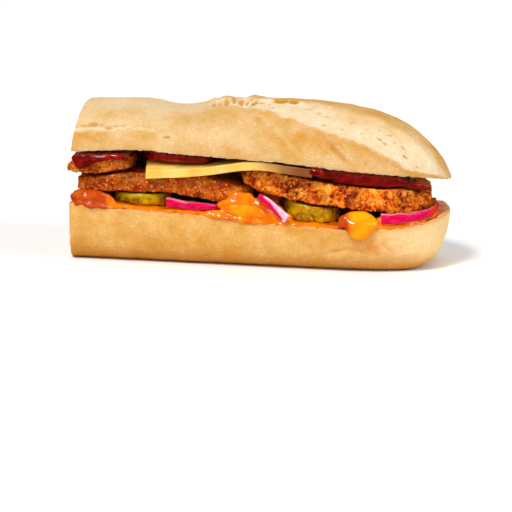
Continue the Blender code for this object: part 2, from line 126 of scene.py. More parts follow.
def top_rise(x):
    """Height of the dome's crest over the upper rim."""
    t = np.clip((x - NOSE_RISE_X) / (TIP_X - NOSE_RISE_X), 0.0, 0.9999)
    return np.where(x < NOSE_RISE_X, dome_rise(x), NOSE_RISE * (1 - t ** 1.9) ** 0.72)


def dome_angle(points):
    """Degrees over the dome of each point: 0 at the front rim, 90 at the crest."""
    x, y, z = points.T
    across = np.clip(np.abs(y) / half_width(x), 0, 1) ** (DOME_POWER / 2)
    up = np.clip((z - upper_rim(x)) / top_rise(x), 0, 1.2) ** (DOME_POWER / 2)
    return np.degrees(np.arctan2(up, -np.sign(y) * across))


print("loaf moved by mm:", [round(float(v), 3) for v in SHIFT])

# %% [markdown]
# ## Working with the meshes
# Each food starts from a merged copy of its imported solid, whose loose triangles are welded and
# joined back into squares. Subdivision rounds its facets, with creases where a knife cut it, and a
# voxel remesh then gives an even skin of small squares, which noise can pit and crumple.

# %% Mesh helpers
def work_mesh(bm):
    """An object to run modifiers on, made from a bmesh."""
    mesh = bpy.data.meshes.new("work")
    bm.to_mesh(mesh)
    bm.free()
    holder = bpy.data.objects.new("work", mesh)
    bpy.context.scene.collection.objects.link(holder)
    return holder


def finished(holder):
    """The mesh after its modifiers, with the working object removed."""
    bpy.context.view_layer.update()
    graph = bpy.context.evaluated_depsgraph_get()
    mesh = bpy.data.meshes.new_from_object(holder.evaluated_get(graph))
    old = holder.data
    bpy.data.objects.remove(holder)
    bpy.data.meshes.remove(old)
    return mesh


def solid_copy(node, crease_angle=50):
    """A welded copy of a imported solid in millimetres, in squares, with its cut edges creased."""
    bm = bmesh.new()
    bm.from_mesh(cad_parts[node].data)
    bmesh.ops.scale(bm, vec=(1 / MM, 1 / MM, 1 / MM), verts=bm.verts)
    bmesh.ops.translate(bm, vec=Vector(-SHIFT), verts=bm.verts)
    bmesh.ops.remove_doubles(bm, verts=bm.verts, dist=WELD_MM)
    crease = bm.edges.layers.float.new("crease_edge")
    limit = math.radians(crease_angle)
    for edge in bm.edges:
        if len(edge.link_faces) == 2 and edge.calc_face_angle(0) > limit:
            edge[crease] = 1.0
            edge.smooth = False
    bmesh.ops.join_triangles(bm, faces=bm.faces, angle_face_threshold=math.radians(25),
                             angle_shape_threshold=math.radians(60), cmp_sharp=True)
    return bm


def swollen(bm, growth):
    """The working mesh with its skin moved outwards, as for a liquid that touches what is near."""
    bm.normal_update()
    for vertex in bm.verts:
        vertex.co += vertex.normal * growth
    return bm


def refine(bm, levels=2, voxel=None, smoothing=0):
    """Subdivide a working mesh, remesh it in even squares of the voxel's size and smooth it."""
    holder = work_mesh(bm)
    if levels:
        rounder = holder.modifiers.new("rounder", "SUBSURF")
        rounder.levels = rounder.render_levels = levels
    if voxel:
        grid = holder.modifiers.new("grid", "REMESH")
        grid.mode = "VOXEL"
        grid.voxel_size = voxel
    if smoothing:
        melt = holder.modifiers.new("melt", "SMOOTH")
        melt.factor = 0.5
        melt.iterations = smoothing
    return finished(holder)


def read_points(mesh):
    """The places of a mesh's vertices, as rows."""
    values = np.empty(len(mesh.vertices) * 3, np.float32)
    mesh.vertices.foreach_get("co", values)
    return values.reshape(-1, 3).astype(float)


def read_normals(mesh):
    """The vertex normals of a mesh, as rows."""
    values = np.empty(len(mesh.vertices) * 3, np.float32)
    mesh.vertex_normals.foreach_get("vector", values)
    return values.reshape(-1, 3).astype(float)


def write_points(mesh, points):
    """Set the places of a mesh's vertices."""
    mesh.vertices.foreach_set("co", points.astype(np.float32).ravel())
    mesh.update()


def paint(mesh, name, values):
    """Store one number a vertex for the materials to read."""
    layer = mesh.attributes.new(name, "FLOAT", "POINT")
    layer.data.foreach_set("value", np.clip(values, 0, 1).astype(np.float32))


def bumps(points, size, seed=0):
    """Smooth noise between about -1 and 1, with bumps of a size in mm."""
    offset = Vector((seed * 7.3, seed * 3.1, seed * 5.7))
    return np.array([noise.noise(Vector(point) / size + offset) for point in points])


def cells(points, size, seed=0, stretch=(1, 1, 1)):
    """For each point, the distance in mm to its cell's middle and border, and the cell's number."""
    offset = Vector((seed * 7.3, seed * 3.1, seed * 5.7))
    scale = Vector(stretch) * size
    middles, borders, shares = (np.empty(len(points)) for _ in range(3))
    for i, point in enumerate(points):
        spot = Vector((point[0] / scale.x, point[1] / scale.y, point[2] / scale.z)) + offset
        found, centres = noise.voronoi(spot)
        middles[i] = found[0] * size
        borders[i] = (found[1] - found[0]) * size
        shares[i] = noise.cell(centres[0] * 17.3)
    return middles, borders, shares


def place(name, mesh, slot, material, nodes=()):
    """Turn a finished mesh to metres, give it its material and set it on the frame."""
    write_points(mesh, (read_points(mesh) + SHIFT) * MM)
    mesh.name = name
    mesh.shade_smooth()
    mesh.materials.clear()
    mesh.materials.append(material)
    piece = bpy.data.objects.new(name, mesh)
    bpy.context.scene.collection.objects.link(piece)
    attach(piece, "root")
    if nodes:
        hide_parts(*nodes)
    print(name, "faces", len(mesh.polygons))
    return piece


print("merging points closer than", WELD_MM, "mm")

# %% [markdown]
# ## Working with materials
# Colours are written as sRGB hex values, as read off a screen, and turned to linear light once.
# One helper adds any node, with its settings and links. Patterns read the piece's own
# coordinates in metres, so a noise scale is one over the grain's real size.

# %% Material helpers
def linear(hex_colour, alpha=1.0):
    """An sRGB hex colour as linear light."""
    channels = [int(hex_colour[i:i + 2], 16) / 255 for i in (0, 2, 4)]
    return [c / 12.92 if c <= 0.04045 else ((c + 0.055) / 1.055) ** 2.4 for c in channels] + [alpha]


def add(material, kind, settings=None, links=None):
    """Add a node, set its sockets and options by name or number, and link its inputs."""
    node = material.node_tree.nodes.new(kind)
    for key, value in (settings or {}).items():
        if key == "stops":
            ramp = node.color_ramp
            while len(ramp.elements) < len(value):
                ramp.elements.new(0.5)
            for element, (position, colour) in zip(ramp.elements, value):
                element.position = position
                element.color = linear(colour)
        elif isinstance(key, int) or key in node.inputs:
            node.inputs[key].default_value = value
        else:
            setattr(node, key, value)
    for key, source in (links or {}).items():
        material.node_tree.links.new(source, node.inputs[key])
    return node


def new_material(name, **settings):
    """A material with one shader, whose even values are set on its own sockets."""
    material = bpy.data.materials.new(name)
    material.use_nodes = True
    shader = material.node_tree.nodes["Principled BSDF"]
    for key, value in settings.items():
        shader.inputs[key.replace("_", " ")].default_value = value
    return material, shader


def per_mm(size):
    """The scale of a pattern whose grain has this size in mm."""
    return 1 / (size * MM)


print("a grain of 2 mm has the scale", per_mm(2))

# %% [markdown]
# ## Baked crust
# Baguette crust is a thin, dry, matt skin of wheat dough. It is pale peach where flour stayed on
# it, golden where it browned, and creamy and floury where the slash opened. Fine flour specks and
# low wrinkles keep it from looking like plastic. Attributes painted on the mesh say where it is
# toasted, torn, soaked with sauce or cut crumb, and where painted shade darkens its hollows,
# pores, creases and lowest parts; the nodes mix the colours from them.

# %% Crust and crumb material
def bread(name, pale, gold, toast, torn):
    """Dry crust that turns toasted, torn or soaked where the mesh says so, and painted shade in hollows."""
    material, shader = new_material(name, Roughness=0.8, Subsurface_Weight=0.15,
                                    Subsurface_Scale=0.0015)
    shader.inputs["Subsurface Radius"].default_value = (1.0, 0.6, 0.3)
    shader.inputs["Specular IOR Level"].default_value = 0.15
    where = add(material, "ShaderNodeTexCoord").outputs["Object"]
    patches = add(material, "ShaderNodeTexNoise",
                  {"Scale": per_mm(13), "Detail": 5.0, "Roughness": 0.62}, {"Vector": where})
    colour = add(material, "ShaderNodeValToRGB", {"stops": [(0.38, gold), (0.6, pale)]},
                 {"Fac": patches.outputs[0]}).outputs[0]
    mottle = add(material, "ShaderNodeTexNoise",
                 {"Scale": per_mm(0.8), "Detail": 4.0, "Roughness": 0.75}, {"Vector": where})
    # Browning and painted shade share the toasted colour; C28A22 is painted shade in hollows and pores.
    for attribute, tone in (("toast", toast), ("torn", torn), ("crumb", "F2DFBC"),
                            ("hollow", "C28A22"), ("stain", "E2801A")):
        amount = add(material, "ShaderNodeAttribute", {"attribute_name": attribute})
        uneven = add(material, "ShaderNodeMath", {"operation": "MULTIPLY_ADD", 1: 0.5, 2: -0.25},
                     {0: mottle.outputs[0]})
        edge = add(material, "ShaderNodeMath", {"operation": "MULTIPLY"},
                   {0: amount.outputs["Fac"], 1: amount.outputs["Fac"]})
        inner = add(material, "ShaderNodeMath", {"operation": "SUBTRACT"},
                    {0: amount.outputs["Fac"], 1: edge.outputs[0]})
        blur = add(material, "ShaderNodeMath", {"operation": "MULTIPLY_ADD", "use_clamp": True},
                   {0: uneven.outputs[0], 1: inner.outputs[0], 2: amount.outputs["Fac"]})
        colour = add(material, "ShaderNodeMix", {"data_type": "RGBA", 7: linear(tone)},
                     {0: blur.outputs[0], 6: colour}).outputs[2]
    shade = add(material, "ShaderNodeMapRange", {1: 0.3, 2: 0.7, 3: 0.84, 4: 1.1},
                {0: mottle.outputs[0]})
    grained = add(material, "ShaderNodeMix", {"data_type": "RGBA", "blend_type": "MULTIPLY", 0: 1.0},
                  {6: colour, 7: shade.outputs[0]})
    flour = add(material, "ShaderNodeTexVoronoi", {"Scale": per_mm(1.5), "Randomness": 1.0},
                {"Vector": where})
    dots = add(material, "ShaderNodeMapRange", {1: 0.1, 2: 0.2, 3: 0.6, 4: 0.0},
               {0: flour.outputs["Distance"]})
    thinned = add(material, "ShaderNodeMapRange", {1: 0.42, 2: 0.6, 3: 0.0, 4: 1.0},
                  {0: patches.outputs[0]})
    speckle = add(material, "ShaderNodeMath", {"operation": "MULTIPLY"},
                  {0: dots.outputs[0], 1: thinned.outputs[0]})
    dusted = add(material, "ShaderNodeMix", {"data_type": "RGBA", 7: linear("FBEBD4")},
                 {0: speckle.outputs[0], 6: grained.outputs[2]})
    material.node_tree.links.new(dusted.outputs[2], shader.inputs["Base Color"])
    fine = add(material, "ShaderNodeTexNoise", {"Scale": per_mm(0.7), "Detail": 6.0, "Roughness": 0.7},
               {"Vector": where})
    grain = add(material, "ShaderNodeBump", {"Strength": 0.8, "Distance": 0.4 * MM},
                {"Height": fine.outputs[0]})
    wrinkle = add(material, "ShaderNodeTexNoise", {"Scale": per_mm(3.5), "Detail": 4.0, "Distortion": 0.7},
                  {"Vector": where})
    skin = add(material, "ShaderNodeBump", {"Strength": 0.35, "Distance": 0.8 * MM},
               {"Height": wrinkle.outputs[0], "Normal": grain.outputs[0]})
    material.node_tree.links.new(skin.outputs[0], shader.inputs["Normal"])
    return material


top_crust = bread("baked_crust_top", pale="DFBB86", gold="D2A45C", toast="D09034", torn="EAD2AC")
base_crust = bread("baked_crust_base", pale="E6B468", gold="D69A40", toast="C2740E", torn="FBDAA0")
print("made", top_crust.name, "and", base_crust.name)


# %% [markdown]
# ## The top of the loaf
# The skin is remeshed at about half a millimetre. Then the slash gets its torn look: slits and
# hollows inside it, a ragged row of cavities under its back lip, small peaks of dough and soft
# creases that run down from the front lip. Each of these is a place on the dome, as a distance
# along the loaf and degrees over it. Two helpers turn a place into a soft groove or bowl.

# %% Places on the dome
LOAF_VOXEL = 0.55
MM_A_DEGREE = 0.576

CREASE_DEPTH = 1.3
HOLLOW_REACH = 1.4
OLD_SLASH_END = -40
OLD_HOLLOW_SHADE = 0.55

# Creases: from and to (along, degrees), width and share of the full depth
CREASES = [((-2, 50), (1, 38), 1.3, 0.7), ((1, 38), (11, 11), 1.6, 0.5), ((7, 42), (16, 10), 1.4, 0.6),
           ((21, 34), (33, 6), 1.2, 0.9), ((14, 36), (22, 12), 2.6, 0.4), ((36, 25), (46, 7), 1.6, 0.4),
           ((-67, 24), (-58, 8), 1.5, 0.7), ((-62, 52), (-44, 42), 2.0, 0.35),
           ((-31, 62), (-20, 28), 2.6, 0.3), ((-46, 20), (-38, 8), 1.6, 0.3)]
# Hollows and slits: along, degrees, half length, half height, slope in degrees, depth
HOLLOWS = [(-64.8, 33, 1.0, 1.1, 0, 0.8), (-61.6, 35, 1.8, 1.9, 35, 1.5), (-58.4, 33, 0.6, 1.0, 0, 0.8),
           (-55.6, 28.5, 1.6, 1.1, -20, 1.2), (-52.8, 31, 0.8, 0.8, 20, 0.9), (-50.4, 32, 0.9, 0.6, 0, 0.8),
           (-48, 27, 0.7, 0.3, -20, 0.5), (-44, 24, 0.8, 0.25, -15, 0.4), (-33.8, 21, 1.2, 1.0, 0, 0.5),
           (23.7, 60, 1.5, 0.6, -12, 1.2), (21.0, 65, 0.9, 0.4, -10, 0.8), (23.3, 46, 0.8, 0.6, 30, 0.7),
           (33.4, 55, 1.1, 0.45, 18, 0.8), (37.0, 41, 0.4, 0.3, 0, 0.5), (40.5, 38, 0.5, 0.3, 0, 0.5),
           (44.0, 38.5, 1.3, 0.4, -38, 0.9), (46.0, 34.5, 1.2, 0.5, -48, 1.1),
           (47.2, 48, 1.0, 0.4, -12, 0.8), (43.6, 50, 0.6, 0.3, -20, 0.5),
           (52.8, 37, 1.3, 0.35, -34, 0.8), (49.6, 40, 0.6, 0.3, -30, 0.5),
           (53.6, 24, 1.4, 0.5, -42, 1.1), (58.5, 14, 1.0, 0.3, -40, 0.4), (30, 44, 0.5, 0.3, 0, 0.4),
           (6.4, 82, 2.6, 2.2, -6, 1.1), (10.8, 80, 2.0, 1.6, -12, 1.0), (4.6, 80, 0.9, 0.5, 0, 0.8),
           (2.6, 71, 1.3, 0.5, -10, 0.8),
           (16.4, 70, 2.2, 0.5, -10, 0.9), (-3.6, 80, 1.4, 0.9, 0, 1.3), (-0.8, 79, 0.9, 0.5, 0, 0.8),
           (2.0, 76, 0.5, 0.4, 0, 0.5), (28, 62, 0.5, 0.35, 0, 0.5)]
# Peaks of dough: along, degrees, radius, height
PEAKS = [(1.2, 55, 2.0, 1.5), (-2.5, 58, 1.8, 0.6), (4.6, 51, 1.6, 0.7), (-4.6, 92, 2.0, 1.2),
         (-1.5, 93, 2.2, 0.6), (-9.5, 64, 1.8, 0.5), (-51.5, 94, 1.2, 0.5), (-38.5, 94, 1.4, 0.5),
         (-19.5, 90, 1.6, 0.5), (-14.8, 93, 2.4, 0.5), (10.5, 44, 1.6, 0.5), (32, 96, 2.0, 0.3),
         (57, 70, 1.4, 0.35)]


def valley(here, start, end, width):
    """1 along the line between two places and 0 away from it, fading at its ends."""
    a, b = np.array(start, float), np.array(end, float)
    run = np.clip(((here - a) @ (b - a)) / ((b - a) @ (b - a)), 0, 1)
    away = np.linalg.norm(here - a - run[:, None] * (b - a), axis=1)
    return np.sin(np.pi * (0.15 + 0.7 * run)) * np.exp(-(away / width) ** 2)


def bowl(here, middle, half_length, half_height, slope):
    """1 in the middle of a sloping oval, falling to 0 at its edge."""
    turn = math.radians(slope)
    across, up = (here - np.array(middle, float)).T
    along = across * math.cos(turn) + up * math.sin(turn)
    over = up * math.cos(turn) - across * math.sin(turn)
    return np.clip(1 - np.hypot(along / half_length, over / half_height), 0, 1)


def on_dome(place):
    """A place given by its distance along the loaf and its degrees, both now in mm."""
    along, degrees = place
    return along, degrees * MM_A_DEGREE


print(len(CREASES), "creases,", len(HOLLOWS), "hollows and", len(PEAKS), "peaks")

# %% [markdown]
# ## Crumb and its pores
# Where a knife or a tear opened the loaf, the crumb shows. Its pores come in three sizes and are
# round holes in a pattern of cells, because baker's gas leaves large holes among many small ones.

# %% Pores and the cut end
PORE_SIZES = (1.5, 2.6, 4.5)
END_DEPTH = 3.5


def pores(points, seed):
    """Round holes of mixed sizes in the crumb, from 0 outside them to 1 at their middles."""
    holes = np.zeros(len(points))
    for step, size in enumerate(PORE_SIZES):
        bent = points + 0.5 * bumps(points, 2, seed + 3)[:, None]
        near, _, share = cells(bent, size, seed + step)
        reach = size * np.clip(0.42 * share, 0, 1)
        holes = np.maximum(holes, np.clip(1.2 - near / np.maximum(reach, 0.01), 0, 1))
    return holes


def cut_end(points, normals):
    """1 on the end that the knife made, 0 elsewhere."""
    return soft_step(-normals[:, 0], 0.55, 0.8) * (points[:, 0] < CUT_X + END_DEPTH)


def end_crumb(points, normals, depth_share):
    """1 on the crumb of the cut end, 0 on its thin crust and elsewhere."""
    return cut_end(points, normals) * soft_step(depth_share, 0.02, 0.06)


print("pores of", PORE_SIZES, "mm")

# %% [markdown]
# ## Zones of the dome
# The materials and the relief need to know what each point is: crumb under the rim or on the cut
# end, crust, the open slash, or the older slash at the left that has half closed again. The edges
# of these zones are shifted by noise, so that they look torn.

# %% Zones of the dome
def dome_zones(points, normals):
    """Each point's place on the dome, and how far it is crumb, crust, open or old slash."""
    x, y, z = points.T
    angle, rim = dome_angle(points), upper_rim(x)
    under = soft_step(-normals[:, 2], 0.6, 0.85) * (z < rim + 1.6)
    share = (np.abs(y) / half_width(x)) ** DOME_POWER
    share = share + np.clip((z - rim) / top_rise(x), 0, 2) ** DOME_POWER
    crumb = np.maximum(under, end_crumb(points, normals, 1 - share ** (1 / DOME_POWER)))
    crust = 1 - np.maximum(under, cut_end(points, normals))
    front, back = front_lip(x), back_lip(x)
    opened = soft_step(x, -24, -16) * (1 - soft_step(x, 66, 71))
    ragged = 2.2 * bumps(points, 2.5, 4) + 1.2 * bumps(points, 0.9, 5)
    blend = 4 + 22 * soft_step(x, 12, 34)
    far_edge = back + 20 * soft_step(x, 46, 64)
    inside = soft_step(angle + ragged, front, front + 3)
    inside *= 1 - soft_step(angle + 2 * ragged, far_edge - blend, far_edge + 0.2 * blend)
    inside *= opened * crust
    old_fade = 1 - soft_step(x, -54, -24)
    old = old_fade * soft_step(angle + ragged, 22, 26) * (1 - soft_step(angle + ragged, 33, 60)) * crust
    here = np.stack([x, angle * MM_A_DEGREE], axis=1)
    return SimpleNamespace(here=here, angle=angle, rim=rim, under=under, crumb=crumb, crust=crust,
                           front=front, back=back, far_edge=far_edge, opened=opened,
                           inside=inside, old_fade=old_fade, old=old)


print("the slash opens from", front_lip(0.0), "to", back_lip(0.0), "degrees at the middle")

# %% [markdown]
# ## Relief of the dome
# Low noise first, then the creases, hollows and peaks from the lists, then the ragged row of
# cavities under the back lip. The row is a dent whose far wall faces the viewer, and cells sink
# into that wall, and these hollows and cavities are also darkened with painted shade. The lip of
# the slash and the torn edge of the old one stand up unevenly.

# %% Relief of the dome's skin
def dome_relief(points, zone):
    """How far the skin rises, the painted shade of its hollows, the old slash's torn edge and the pores."""
    x, y = points[:, 0], points[:, 1]
    angle, crust, here = zone.angle, zone.crust, zone.here
    rise = (0.25 * bumps(points, 6, 1) + 0.14 * bumps(points, 1.7, 2)) * crust
    rise += 0.12 * bumps(points, 0.9, 3) * (0.4 + zone.inside)
    for begin, finish, width, depth in CREASES:
        line = valley(here, on_dome(begin), on_dome(finish), width)
        rise -= CREASE_DEPTH * depth * line * crust
    # Painted shade: the hollows and slits are darkened in colour as well as sunk.
    hollow = np.zeros(len(points))
    wobbled = here + 0.25 * np.stack([bumps(points, 0.9, 6), bumps(points, 0.9, 7)], axis=1)
    for along, degrees, half_length, half_height, slope, depth in HOLLOWS:
        half_sizes = HOLLOW_REACH * half_length, HOLLOW_REACH * half_height
        dip = bowl(wobbled, on_dome((along, degrees)), *half_sizes, slope)
        rise -= depth * soft_step(dip, 0.0, 0.75) * crust
        shade = OLD_HOLLOW_SHADE if along < OLD_SLASH_END else 1.0
        hollow = np.maximum(hollow, shade * soft_step(dip, 0.05, 0.5) * crust)
    for along, degrees, radius, height in PEAKS:
        away = np.linalg.norm(wobbled - np.array(on_dome((along, degrees))), axis=1)
        rise += height * np.exp(-(away / radius) ** 2) * crust

    row = soft_step(x, -22, -18) * (1 - soft_step(x, -7, -2)) * crust
    far_wall = row * np.exp(-((angle - 82) / 9) ** 2)
    _, border, share = cells(points, 2.4, 3, stretch=(1.1, 2.4, 1))
    cavity = soft_step(border, 0.15, 0.9) * (share > -0.5)
    rise -= 1.3 * row * np.exp(-((angle - 75) / 7) ** 2) + 0.9 * cavity * far_wall
    # Painted shade on the far wall of the cavities.
    hollow = np.maximum(hollow, 0.8 * cavity * soft_step(far_wall, 0.3, 0.7))
    torn_edge = zone.old_fade * np.exp(-((angle - 27 + 3 * bumps(points, 2, 8)) / 2.5) ** 2) * crust
    rise += torn_edge * (0.25 + 0.35 * bumps(points, 1.1, 9))
    lip = np.exp(-((angle - zone.front) / 3) ** 2) * zone.opened * crust
    rise += lip * (0.1 + 0.45 * bumps(points, 2.4, 10))

    pore = pores(points, 8)
    rise -= 1.1 * pore * zone.crumb
    rise += 0.25 * bumps(points, 1.2, 11) * zone.crumb
    near_rim = soft_step(np.abs(y) / half_width(x), 0.9, 0.99)
    rise -= 0.5 * zone.under * near_rim * np.clip(bumps(points, 2.0, 13), 0, 1)
    return rise, hollow, torn_edge, pore


# %% [markdown]
# ## Browning and painted shade of the dome
# The oven browned what stood highest or was thinnest: the lip of the slash, the ridge under it,
# the far side, the nose and the peaks. The creases and the low front by the rim are darkened in
# the same colour as painted shade.
# The strongest of these wins at each point, so that they don't add up to a burnt patch.

# %% The dressed top
def dome_toast(points, zone):
    """How brown the crust is, with painted shade in creases and by the rim, from 0 to about 1."""
    x = points[:, 0]
    angle, front, far_edge, opened = zone.angle, zone.front, zone.far_edge, zone.opened
    lip_toast = np.exp(-((angle - front + 2) / 4) ** 2) * opened * soft_step(x, -12, 2)
    ridge_toast = 0.75 * soft_step(x, 4, 12) * (1 - soft_step(x, 40, 52))
    ridge_toast *= soft_step(angle, front - 32, front - 14) * (1 - soft_step(angle, front - 5, front))
    ridge_toast *= soft_step(bumps(points, 6, 14), -0.25, 0.35)
    far_toast = 0.55 * soft_step(angle, far_edge - 4, far_edge + 12) * opened
    far_toast *= 1 - 0.6 * soft_step(angle, far_edge + 30, far_edge + 70)
    tip_toast = soft_step(x, 50, 68) * soft_step(angle, 62, 84) * (1 - 0.5 * soft_step(angle, 110, 150))
    # Painted shade: darker low on the dome, by the rim.
    low_toast = 0.3 * (1 - soft_step(angle, 3, 22)) * (1 - soft_step(x, 40, 60))
    crest_toast = 0.18 * np.exp(-((angle - 95) / 15) ** 2)
    left_toast = 0.75 * (1 - soft_step(x, -66, -50)) * soft_step(angle, 8, 20)
    left_toast *= 1 - soft_step(angle, 22, 26)
    toast = np.maximum.reduce([0.6 * lip_toast, ridge_toast, far_toast, tip_toast, crest_toast,
                               left_toast, low_toast])
    for along, degrees, _, _ in PEAKS[:4]:
        away = np.linalg.norm(zone.here - np.array(on_dome((along, degrees))), axis=1)
        toast = np.maximum(toast, 0.8 * np.exp(-(away / 1.6) ** 2))
    # Painted shade in the creases.
    for begin, finish, width, depth in CREASES:
        line = valley(zone.here, on_dome(begin), on_dome(finish), 1.5 * width)
        toast = np.maximum(toast, 1.1 * depth * line)
    back_edge = np.exp(-((angle - zone.back - 2) / 4) ** 2)
    back_edge = back_edge * soft_step(x, -24, -18) * (1 - soft_step(x, 20, 40))
    return np.maximum(toast, 0.6 * back_edge)


def top_of_the_loaf():
    """The upper half, with its torn slash, hollows, peaks and creases."""
    mesh = refine(solid_copy("bun_top"), levels=2, voxel=LOAF_VOXEL)
    points, normals = read_points(mesh), read_normals(mesh)
    zone = dome_zones(points, normals)
    rise, hollow, torn_edge, pore = dome_relief(points, zone)
    points += normals * rise[:, None]
    write_points(mesh, points)
    x, _, z = points.T
    patch = 0.8 + 0.7 * bumps(points, 4, 12)
    paint(mesh, "toast", dome_toast(points, zone) * patch * zone.crust)
    pale_crest = 0.55 * soft_step(zone.angle, 50, 75) * (1 - soft_step(zone.angle, 110, 140))
    pale_crest *= 1 - soft_step(x, -30, -10)
    torn = np.maximum.reduce([zone.inside, 0.35 * zone.old, 0.9 * torn_edge, pale_crest])
    paint(mesh, "torn", torn * (0.9 + 0.3 * bumps(points, 3, 15)))
    paint(mesh, "crumb", zone.crumb)
    # Painted shade in the hollows and in the pores of the crumb.
    paint(mesh, "hollow", np.maximum(hollow, 0.35 * pore * zone.crumb))
    ketchup_edge = np.exp(-(z - zone.rim) / 0.5) * soft_step(bumps(points, 5, 16), -0.1, 0.4)
    paint(mesh, "stain", 0.5 * ketchup_edge * zone.under)
    return place("loaf_top", mesh, "crust", top_crust, ["bun_top"])


top_of_the_loaf()

# %% [markdown]
# ## The bottom of the loaf
# The lower half has smoother, more golden crust, with flour dots and soft folds near the nose.
# It is darker towards the bottom with painted shade. Sauce has soaked into its cut face and left
# stains on the crust along the rim and under the drop.

# %% Bottom of the loaf
# Folds: from and to (along, height), width and depth
BASE_FOLDS = [((26, 6.5), (34, 9), 0.8, 0.8), ((33, 9), (46, 6.5), 1.0, 0.5),
              ((44, 4), (60, 5.5), 1.2, 0.5), ((10, 12), (16, 5), 1.0, 0.3),
              ((-42, 13), (-38, 4), 2.0, 0.25), ((-58, 15), (-55, 3), 2.5, 0.3),
              ((-6, 7), (4, 6), 1.0, 0.3), ((50, 10), (62, 8), 2.2, 0.3)]


def base_of_the_loaf():
    """The lower half, golden outside and soaked with sauce along its rim."""
    mesh = refine(solid_copy("bun_bottom"), levels=2, voxel=LOAF_VOXEL)
    points, normals = read_points(mesh), read_normals(mesh)
    x, y, z = points.T
    rim = lower_rim(x)
    depth_share = 1 - np.maximum(np.abs(y) / half_width(x), 1 - z / 16)
    top = soft_step(normals[:, 2], 0.6, 0.85) * (z > 10)
    crumb = np.maximum(top, end_crumb(points, normals, depth_share))
    crust = 1 - np.maximum(top, cut_end(points, normals))
    above = soft_step(z, 0.05, 1.5)
    rise = 0.35 * bumps(points, 9, 21) + 0.15 * bumps(points, 2.2, 22) + 0.08 * bumps(points, 0.9, 23)
    rise *= crust * above
    here = np.stack([x, z], axis=1)
    for begin, finish, width, depth in BASE_FOLDS:
        rise -= depth * valley(here, begin, finish, width) * crust * above * (y < 0)
    pore = pores(points, 24)
    rise -= 1.1 * pore * crumb
    rise += 0.25 * bumps(points, 1.2, 25) * crumb
    points += normals * rise[:, None]
    write_points(mesh, points)
    patch = bumps(points, 7, 26)
    # Painted shade: darker towards the bottom, over uneven browning.
    low = 1 - soft_step(z + 2 * patch, 0, 8)
    pale_nose = soft_step(x, 30, 62) * soft_step(z, 2, 9)
    paint(mesh, "toast", np.clip(0.8 * low + 0.3 * patch, 0, 1) * (1 - pale_nose) * crust)
    paint(mesh, "torn", 0.8 * pale_nose * crust)
    paint(mesh, "crumb", crumb)
    # Painted shade in the pores of the crumb.
    paint(mesh, "hollow", 0.35 * pore * crumb)
    below = rim - z
    edge = np.exp(-np.clip(below, 0, 20) / 0.8) * soft_step(bumps(points, 4, 27), -0.45, 0.25)
    under_drop = np.exp(-((x - 44) / 8) ** 2 - ((z - 10.5) / 3.2) ** 2) * (y < 0)
    under_drop *= soft_step(bumps(points, 3, 28), -0.5, 0.3)
    right_smear = np.exp(-((x - 56) / 9) ** 2) * np.exp(-np.clip(below, 0, 20) / 1.6)
    nose_band = soft_step(x, 58, 66) * (1 - soft_step(below, 0.5, 2.2))
    stain = np.maximum.reduce([0.9 * edge, 0.65 * under_drop, 0.7 * right_smear, 0.7 * nose_band])
    soaked = top * (0.7 + 0.3 * bumps(points, 5, 29))
    paint(mesh, "stain", np.maximum(stain * crust, soaked))
    return place("loaf_base", mesh, "crust", base_crust, ["bun_bottom"])


base_of_the_loaf()
